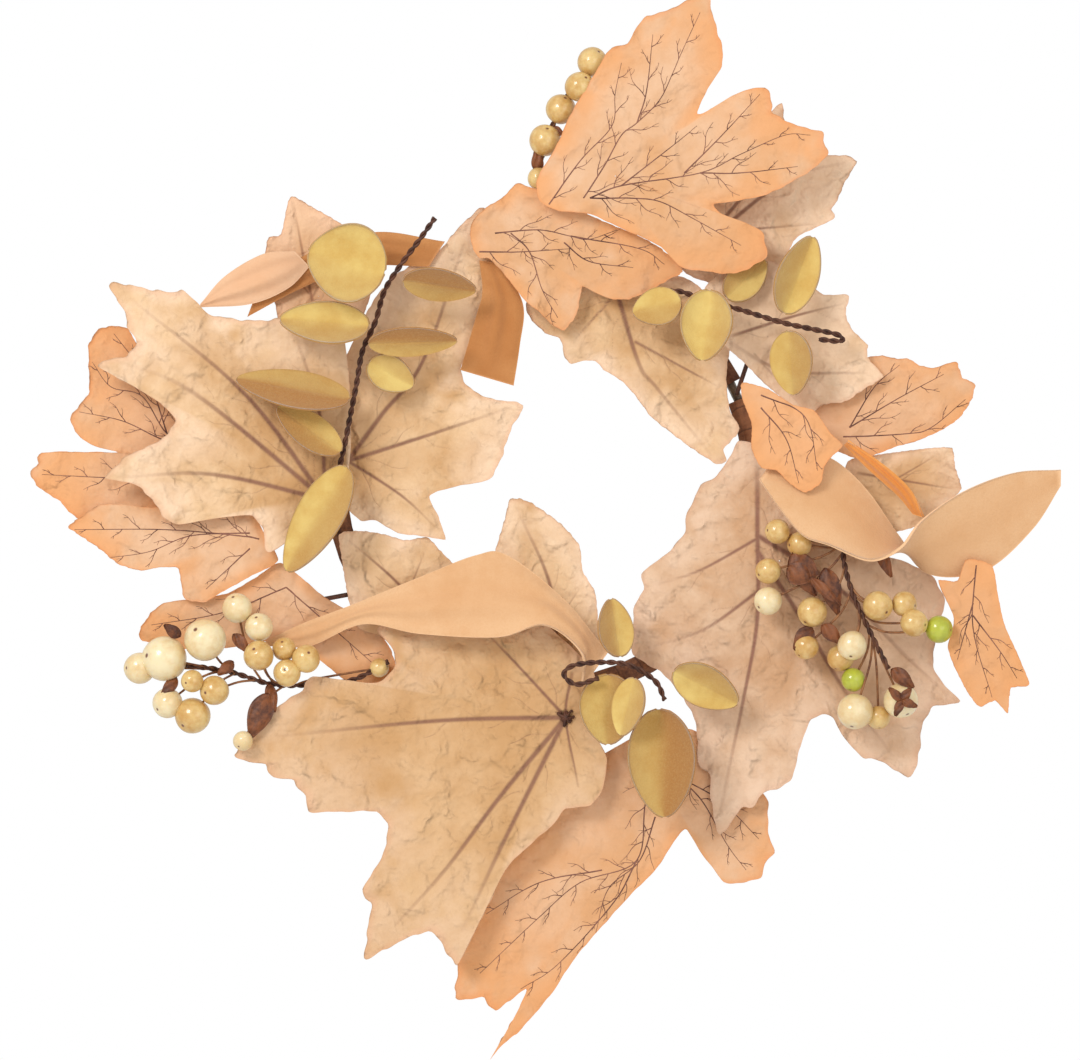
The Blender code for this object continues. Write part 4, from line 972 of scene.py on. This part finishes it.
def make_mottle():
    """Mottle: two colours mixed by two sizes of soft noise in the piece's own coordinates."""
    tree, start, end = group(
        "mottle", (("Light", "Color", (0.8, 0.8, 0.8)), ("Dark", "Color", (0.5, 0.5, 0.5)),
                   ("Scale", "Float", 60.0), ("Amount", "Float", 1.0)), (("Color", "Color"), ("Mask", "Float")))
    points = object_points(tree)
    broad = add(tree, "ShaderNodeTexNoise", Vector=points, Scale=start.outputs["Scale"], Detail=4.0, Roughness=0.6)
    finer = maths(tree, "MULTIPLY", start.outputs["Scale"], 4.3)
    fine = add(tree, "ShaderNodeTexNoise", Vector=points, Scale=finer, Detail=3.0, Roughness=0.6)
    both = maths(tree, "ADD", maths(tree, "MULTIPLY", broad.outputs["Fac"], 0.65),
                 maths(tree, "MULTIPLY", fine.outputs["Fac"], 0.35))
    mask = maths(tree, "MULTIPLY", ramp(tree, both, 0.38, 0.64), start.outputs["Amount"], clamp=True)
    feed(tree, end.inputs["Color"], blend(tree, mask, start.outputs["Light"], start.outputs["Dark"]))
    feed(tree, end.inputs["Mask"], mask)


def make_grain():
    """Grain: a fine fibrous height and its speckle, for cloth, suede and tape."""
    tree, start, end = group("grain", (("Scale", "Float", 900.0),), (("Height", "Float"), ("Speckle", "Float")))
    points = object_points(tree)
    noise = add(tree, "ShaderNodeTexNoise", Vector=points, Scale=start.outputs["Scale"], Detail=3.0, Roughness=0.7)
    coarse = maths(tree, "MULTIPLY", start.outputs["Scale"], 0.3)
    lumps = add(tree, "ShaderNodeTexNoise", Vector=points, Scale=coarse, Detail=2.0)
    height = maths(tree, "ADD", noise.outputs["Fac"], lumps.outputs["Fac"])
    feed(tree, end.inputs["Height"], height)
    feed(tree, end.inputs["Speckle"], ramp(tree, noise.outputs["Fac"], 0.4, 0.68))


def make_crepe():
    """Crepe: pillows between wandering furrows over broad soft folds, for pressed cloth, and a mask of the furrows
    for painted shade.
    """
    tree, start, end = group("crepe", (("Scale", "Float", 200.0),), (("Height", "Float"), ("Hollow", "Float")))
    points = object_points(tree)
    warp = add(tree, "ShaderNodeTexNoise", Vector=points, Scale=110.0, Detail=3.0)
    shift = add(tree, "ShaderNodeVectorMath", {"operation": "SCALE"}, Vector=warp.outputs["Color"], Scale=0.016)
    moved = add(tree, "ShaderNodeVectorMath", {"operation": "ADD"})
    feed(tree, moved.inputs[0], points)
    feed(tree, moved.inputs[1], shift.outputs["Vector"])
    cells = add(tree, "ShaderNodeTexVoronoi", {"feature": "SMOOTH_F1"},
                Vector=moved.outputs["Vector"], Scale=start.outputs["Scale"], Smoothness=1.0)
    broad = add(tree, "ShaderNodeTexNoise", Vector=moved.outputs["Vector"], Scale=42.0, Detail=1.5, Distortion=0.8)
    pillow = maths(tree, "SUBTRACT", 0.6, maths(tree, "MULTIPLY", cells.outputs["Distance"], 0.8))
    height = maths(tree, "MULTIPLY_ADD", broad.outputs["Fac"], 3.2, pillow)
    feed(tree, end.inputs["Height"], height)
    feed(tree, end.inputs["Hollow"], ramp(tree, cells.outputs["Distance"], 0.3, 0.8))


def fill(tree, surface, colour, normal=None, **values):
    """Give a surface its colour and its normal, and set its constants by name, underscores standing for spaces."""
    feed(tree, surface.inputs["Base Color"], colour)
    for key, value in values.items():
        surface.inputs[key.replace("_", " ")].default_value = value
    if normal is not None:
        feed(tree, surface.inputs["Normal"], normal)


def bump(tree, height, strength, distance):
    """Return the normal of a height, in metres at full strength."""
    node = add(tree, "ShaderNodeBump", Height=height, Strength=strength, Distance=distance)
    return node.outputs["Normal"]


def cached(name, maker):
    """Return a material by name, making it once."""
    return bpy.data.materials.get(name) or maker(name)


def cloth(slot):
    """Veined cloth of a maple leaf, in the colours of its slot."""
    return cached("look_" + slot, lambda name: make_cloth(name, *CLOTHS[slot]))


def make_cloth(name, base, shade, rim, edge, vein, printed):
    """Cloth: mottled ground tinted at the rim, crepe relief with painted shade in its furrows, and on plain leaves
    soft veins.
    """
    paint, tree, surface = blank(name)
    ground = use(tree, "mottle", Light=base, Dark=shade, Scale=24.0, Amount=0.9)
    heart = ramp(tree, stored(tree, "rim"), 0.05, 0.6, 0.55, 0.0)
    outer = ramp(tree, stored(tree, "rim"), 0.5, 1.0)
    patch = add(tree, "ShaderNodeTexNoise", Vector=object_points(tree), Scale=70.0, Detail=4.0)
    warm = maths(tree, "MULTIPLY", outer, ramp(tree, patch.outputs["Fac"], 0.3, 0.6), clamp=True)
    colour = blend(tree, maths(tree, "MULTIPLY", heart, 0.25 if printed else 1.0), ground.outputs["Color"], shade)
    colour = blend(tree, maths(tree, "MULTIPLY", warm, 0.85), colour, rim)
    # Rim-tint dye, and painted light paling the top and upper right maple leaves where the leaf above shades them.
    tint_and_light_share = maths(tree, "MULTIPLY", stored(tree, "warmth"), ramp(tree, patch.outputs["Fac"], 0.15, 0.5, 0.4, 1.0),
                 clamp=True)
    colour = blend(tree, tint_and_light_share, colour, rim)
    # Painted shade: the bottom left maple leaf darkened toward its shade colour, standing in for the leaves above.
    painted_shade_share = maths(tree, "MULTIPLY", stored(tree, "warmth"), -1.0, clamp=True)
    colour = blend(tree, painted_shade_share, colour, shade)
    scorch = ramp(tree, stored(tree, "rim"), 0.95, 1.0, 0.0, 0.35)
    colour = blend(tree, scorch, colour, edge)
    crepe = use(tree, "crepe", Scale=150.0 if printed else 190.0)
    # Painted shade in the crepe's furrows, toward the cloth's shade colour.
    colour = blend(tree, maths(tree, "MULTIPLY", crepe.outputs["Hollow"], 0.22), colour, shade)
    strong = ramp(tree, stored(tree, "vein"), 0.1, 0.95)
    faded = maths(tree, "MULTIPLY", strong, ramp(tree, stored(tree, "rim"), 0.4, 0.95, 0.85, 0.08))
    colour = blend(tree, faded, colour, vein)
    grain = use(tree, "grain", Scale=1100.0)
    colour = blend(tree, maths(tree, "MULTIPLY", grain.outputs["Speckle"], 0.10), colour, shade)
    feed(tree, surface.inputs["Base Color"], colour)
    fine = bump(tree, grain.outputs["Height"], 0.4, 0.0002)
    relief = add(tree, "ShaderNodeBump", Height=crepe.outputs["Height"], Strength=0.7 if printed else 1.0,
                 Distance=0.0016, Normal=fine)
    fill(tree, surface, colour, relief.outputs["Normal"], Roughness=0.8, Sheen_Weight=0.1, Specular_IOR_Level=0.25)
    return paint


def vein_ink():
    """Dark ink of the printed veins."""
    return cached("look_vein_ink", make_ink)


def make_ink(name):
    """Ink: purple brown, worn paler in patches."""
    paint, tree, surface = blank(name)
    ground = use(tree, "mottle", Light=(0.30, 0.14, 0.10), Dark=(0.10, 0.040, 0.035), Scale=90.0, Amount=1.0)
    fill(tree, surface, ground.outputs["Color"], Roughness=0.85)
    return paint


def suede(slot):
    """Suede foam of a petal, in the colours of its slot."""
    return cached("look_" + slot, lambda name: make_suede(name, *FOAMS[slot]))


def make_suede(name, base, shade):
    """Suede: softly mottled ground with a nap of fine grain, painted shade midway between its edges, and a painted
    highlight where the cut edge catches the light.
    """
    paint, tree, surface = blank(name)
    ground = use(tree, "mottle", Light=base, Dark=shade, Scale=22.0, Amount=0.8)
    pale = tuple(min(1.0, channel * 1.25 + 0.05) for channel in base)
    edge = ramp(tree, stored(tree, "rim"), 0.965, 1.0)
    grain = use(tree, "grain", Scale=1500.0)
    # Painted shade: darker midway between the petal's two edges, as in the hollow of its trough.
    painted_trough_shade = maths(tree, "PINGPONG", stored(tree, "cross"), 0.5)
    colour = blend(tree, ramp(tree, painted_trough_shade, 0.0, 0.5, 0.0, 0.45), ground.outputs["Color"], shade)
    colour = blend(tree, maths(tree, "MULTIPLY", edge, 0.6), colour, pale)
    colour = blend(tree, maths(tree, "MULTIPLY", grain.outputs["Speckle"], 0.25), colour, shade)
    fill(tree, surface, colour, bump(tree, grain.outputs["Height"], 0.5, 0.0003), Roughness=0.95,
         Sheen_Weight=0.35, Specular_IOR_Level=0.15)
    return paint


def velvet():
    """Flocked eucalyptus leaf."""
    return cached("look_eucalyptus", make_velvet)


def make_velvet(name):
    """Velvet: straw yellow going olive brown in patches, toward the rim and the underside, and over one long half
    of each leaf as painted shade.
    """
    paint, tree, surface = blank(name)
    ground = use(tree, "mottle", Light=(0.74, 0.57, 0.20), Dark=(0.60, 0.38, 0.10), Scale=34.0, Amount=0.9)
    worn = maths(tree, "MULTIPLY", ramp(tree, stored(tree, "rim"), 0.85, 1.0), 0.4)
    colour = blend(tree, worn, ground.outputs["Color"], (0.50, 0.29, 0.10))
    # Brown underside, with painted shade over one long half of each leaf.
    colour = blend(tree, stored(tree, "under"), colour, (0.40, 0.19, 0.055))
    grain = use(tree, "grain", Scale=1700.0)
    colour = blend(tree, maths(tree, "MULTIPLY", grain.outputs["Speckle"], 0.12), colour, (0.74, 0.58, 0.26))
    fill(tree, surface, colour, bump(tree, grain.outputs["Height"], 0.6, 0.0003), Roughness=0.95, Sheen_Weight=0.5,
         Specular_IOR_Level=0.15)
    return paint


def stalk_skin():
    """Tan papery stalk of a berry."""
    return cached("look_stalk", make_stalk)


def make_stalk(name):
    """Stalk: russet tan, blotched darker."""
    paint, tree, surface = blank(name)
    ground = use(tree, "mottle", Light=(0.34, 0.15, 0.055), Dark=(0.12, 0.04, 0.018), Scale=200.0, Amount=1.0)
    fill(tree, surface, ground.outputs["Color"], Roughness=0.6)
    return paint


def wire():
    """Brown paper-wrapped wire."""
    return cached("look_brown_wire", make_wire)


def make_wire(name):
    """Wire: dark brown with a little rubbed tan."""
    paint, tree, surface = blank(name)
    ground = use(tree, "mottle", Light=(0.115, 0.040, 0.020), Dark=(0.035, 0.010, 0.006), Scale=260.0, Amount=1.0)
    grain = use(tree, "grain", Scale=1400.0)
    fill(tree, surface, ground.outputs["Color"], bump(tree, grain.outputs["Height"], 0.5, 0.0003), Roughness=0.6)
    return paint


def dry_bract():
    """Dry papery bract."""
    return cached("look_bract", make_bract)


def make_bract(name):
    """Bract: russet brown, streaked, a little light passing through."""
    paint, tree, surface = blank(name)
    ground = use(tree, "mottle", Light=(0.24, 0.075, 0.02), Dark=(0.07, 0.018, 0.008), Scale=170.0, Amount=1.0)
    grain = use(tree, "grain", Scale=1000.0)
    fill(tree, surface, ground.outputs["Color"], bump(tree, grain.outputs["Height"], 0.5, 0.0003), Roughness=0.5,
         Subsurface_Weight=0.2, Subsurface_Radius=(0.002, 0.001, 0.0005))
    return paint


def lacquer():
    """Lacquered berry skin."""
    return cached("look_berry", make_lacquer)


def make_lacquer(name):
    """Lacquer: cream, amber or green skin with soft bruises, dark at the blossom end, beneath a clear coat."""
    paint, tree, surface = blank(name)
    cream = use(tree, "mottle", Light=(0.86, 0.76, 0.50), Dark=(0.72, 0.50, 0.22), Scale=100.0, Amount=0.7)
    amber = use(tree, "mottle", Light=(0.76, 0.56, 0.24), Dark=(0.56, 0.31, 0.08), Scale=110.0, Amount=0.9)
    green = use(tree, "mottle", Light=(0.50, 0.56, 0.06), Dark=(0.36, 0.40, 0.03), Scale=110.0, Amount=0.8)
    tone = stored(tree, "tone")
    colour = blend(tree, ramp(tree, tone, 0.2, 0.8), cream.outputs["Color"], amber.outputs["Color"])
    colour = blend(tree, ramp(tree, tone, 1.2, 1.8), colour, green.outputs["Color"])
    colour = blend(tree, ramp(tree, stored(tree, "calyx"), 0.45, 0.85), colour, (0.16, 0.05, 0.025))
    fill(tree, surface, colour, bump(tree, cream.outputs["Mask"], 0.25, 0.0003), Roughness=0.28, Coat_Weight=0.6,
         Coat_Roughness=0.08, Subsurface_Weight=0.12, Subsurface_Radius=(0.003, 0.002, 0.001))
    return paint


def make_tape(name):
    """Tape: crinkled brown paper wound round the hoop, its laps set by the angle round the hoop's centre."""
    paint, tree, surface = blank(name)
    parts = add(tree, "ShaderNodeSeparateXYZ", Vector=object_points(tree)).outputs
    up = maths(tree, "SUBTRACT", parts["Z"], HOOP_CENTRE_UP * MM)
    angle = maths(tree, "ARCTAN2", up, parts["X"])
    slant = maths(tree, "MULTIPLY_ADD", parts["Y"], 300.0, maths(tree, "MULTIPLY", angle, 56.0))
    lap = maths(tree, "FRACT", maths(tree, "MULTIPLY", slant, 0.16))
    ground = use(tree, "mottle", Light=(0.26, 0.11, 0.05), Dark=(0.10, 0.035, 0.018), Scale=180.0, Amount=1.0)
    grain = use(tree, "grain", Scale=1200.0)
    seam = ramp(tree, lap, 0.0, 0.12, 1.0, 0.0)
    colour = blend(tree, maths(tree, "MULTIPLY", seam, 0.7), ground.outputs["Color"], (0.05, 0.016, 0.01))
    height = maths(tree, "ADD", lap, maths(tree, "MULTIPLY", grain.outputs["Height"], 0.4))
    fill(tree, surface, colour, bump(tree, height, 0.7, 0.0005), Roughness=0.8)
    return paint


def make_steel(name):
    """Steel: drawn wire with fine streaks and a dull skin."""
    paint, tree, surface = blank(name)
    ground = use(tree, "mottle", Light=(0.20, 0.17, 0.15), Dark=(0.10, 0.08, 0.07), Scale=400.0, Amount=0.8)
    feed(tree, surface.inputs["Roughness"], ramp(tree, ground.outputs["Mask"], 0.0, 1.0, 0.35, 0.55))
    fill(tree, surface, ground.outputs["Color"], bump(tree, ground.outputs["Mask"], 0.2, 0.0002), Metallic=1.0)
    return paint


def make_floor_paint(name):
    """Floor: matt off-white board."""
    paint, tree, surface = blank(name)
    ground = use(tree, "mottle", Light=(0.86, 0.86, 0.86), Dark=(0.80, 0.80, 0.80), Scale=6.0, Amount=0.5)
    fill(tree, surface, ground.outputs["Color"], Roughness=0.9)
    return paint


# Assembly and studio.

# The body each moving leaf, petal and spray rides on; everything else is fixed to the wreath's base.
MOVING = {
    "left_maple_leaf": "left_maple", "top_printed_leaf": "top_printed", "top_right_maple_leaf": "top_right_maple",
    "right_crumpled_leaf": "right_crumpled", "right_curled_leaf": "right_curled", "right_maple_leaf": "right_maple",
    "left_printed_leaf": "left_printed", "top_left_maple_leaf": "top_left_maple",
    "bottom_printed_leaf": "bottom_printed", "right_orange_petal": "right_orange",
    "left_berry_spray": "left_berries", "right_berry_spray": "right_berries", "top_berry_spray": "top_berries",
}


def body_for(name):
    """Return the body that carries a leaf, petal or spray."""
    return MOVING.get(name, "wreath_base")


def build_leaves():
    """Make every maple leaf, and a wire foot for each that reaches the tape."""
    for leaf in LEAVES:
        leaf_piece(leaf, body_for(leaf.name))
        if leaf.name in LEAF_FEET:
            foot_piece(leaf, body_for(leaf.name))


def foot_piece(leaf, body):
    """Make a leaf's wire foot: straight from behind its hub to just in front of the tape."""
    hub = np.array((*on_hoop(leaf.outward, leaf.angle), leaf.depth - CLOTH - FOOT_RADIUS))
    rest = np.array((*on_hoop(0, LEAF_FEET[leaf.name]), TAPE_FRONT + FOOT_RADIUS + FOOT_CLEARANCE))
    foot = tube_mesh(np.linspace(hub, rest, 12), FOOT_RADIUS)
    extra_piece(leaf.name + "_foot", [foot], wire(), "brown_wire", body)


def build_knot():
    """Bind the bottom left leaf's foot with a small dark knot of wire ends at its hub."""
    leaf = next(leaf for leaf in LEAVES if leaf.name == "bottom_left_maple_leaf")
    hub = np.array((*on_hoop(leaf.outward, leaf.angle), leaf.depth + 0.6))
    parts = []
    for turn in np.linspace(0, 2 * math.pi, 7, endpoint=False):
        spoke = np.array((math.cos(turn), math.sin(turn), 0.0)) * (2.2 + 0.7 * math.sin(3 * turn))
        hook = (hub - spoke * 0.6, hub + (0, 0, 0.9), hub + spoke, hub + spoke * 0.8 + (0.8, 0.5, -0.3))
        parts.append(tube_mesh(smooth_route(hook, 5), KNOT_RADIUS, 7))
    extra_piece("foot_knot", parts, wire(), "brown_wire", "wreath_base")


def build_eucalyptus():
    """Make every eucalyptus spray: its twisted wire and the leaves along it."""
    for spray in EUCALYPTUS:
        wire_piece(spray.name + "_twist", spray.route, spray.name, spray.name + "_wire")
        for number, (spoon, look) in enumerate(zip(spray.leaves, TONES[spray.name]), 1):
            spoon_piece(f"{spray.name}_leaf_{number}", spoon, *look, spray.name)


def dress_hoop():
    """Give the hoop and its winding their finishes."""
    for node, maker in (("wire_hoop", make_steel), ("hoop_tape", make_tape)):
        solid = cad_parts[node]
        solid.data.materials.clear()
        solid.data.materials.append(maker("look_" + node))


def build_floor():
    """Lay a pale floor well below the wreath."""
    bpy.ops.mesh.primitive_plane_add(size=6.0, location=(0.0, 0.0, -0.6))
    floor = bpy.context.object
    floor.name = "studio_floor"
    floor.data.materials.append(make_floor_paint("look_floor"))


def area_light(name, place_at, aim, size, power, colour):
    """Hang a soft square light and turn it toward a point."""
    lamp = bpy.data.lights.new(name, "AREA")
    lamp.size = size
    lamp.energy = power
    lamp.color = colour
    light = bpy.data.objects.new(name, lamp)
    light.location = place_at
    light.rotation_euler = (Vector(aim) - Vector(place_at)).to_track_quat("-Z", "Y").to_euler()
    bpy.context.scene.collection.objects.link(light)


def build_studio():
    """Set a white surround, a key light at upper left and a wide fill."""
    world = bpy.data.worlds.new("white_surround")
    world.use_nodes = True
    tree = world.node_tree
    tree.nodes.clear()
    path = tree.nodes.new("ShaderNodeLightPath")
    tint = blend(tree, path.outputs["Is Camera Ray"], (1.0, 0.93, 0.85), (1.0, 1.0, 1.0))
    strength = maths(tree, "MULTIPLY_ADD", path.outputs["Is Camera Ray"], 0.3, 0.7)
    background = add(tree, "ShaderNodeBackground", Color=tint, Strength=strength)
    output = tree.nodes.new("ShaderNodeOutputWorld")
    tree.links.new(background.outputs["Background"], output.inputs["Surface"])
    bpy.context.scene.world = world
    centre = (0.0, 0.0, -0.08)
    area_light("key_light", (-0.8, -1.3, 0.7), centre, 0.5, 13.0, (1.0, 0.98, 0.95))
    area_light("fill_light", (0.9, -1.7, 0.2), centre, 1.2, 6.0, (1.0, 0.98, 0.95))


def build_camera():
    """Stand a long lens straight in front of the wreath."""
    lens = bpy.data.cameras.new("front_camera")
    lens.lens = 312.5
    lens.sensor_width = 36.0
    camera = bpy.data.objects.new("front_camera", lens)
    camera.location = (-0.0016, -3.0, -0.0795)
    camera.rotation_euler = (math.pi / 2, 0.0, 0.0)
    bpy.context.scene.collection.objects.link(camera)
    bpy.context.scene.camera = camera


def build_wreath():
    """Dress the whole wreath."""
    dress_hoop()
    build_leaves()
    build_knot()
    for petal in PETALS:
        petal_piece(petal, body_for(petal.name))
    build_eucalyptus()
    for spray in BERRY_SPRAYS:
        berry_spray(spray, body_for(spray.name))


make_mottle()
make_grain()
make_crepe()
build_wreath()
build_floor()
build_studio()
build_camera()
bpy.context.scene.view_settings.view_transform = "Standard"
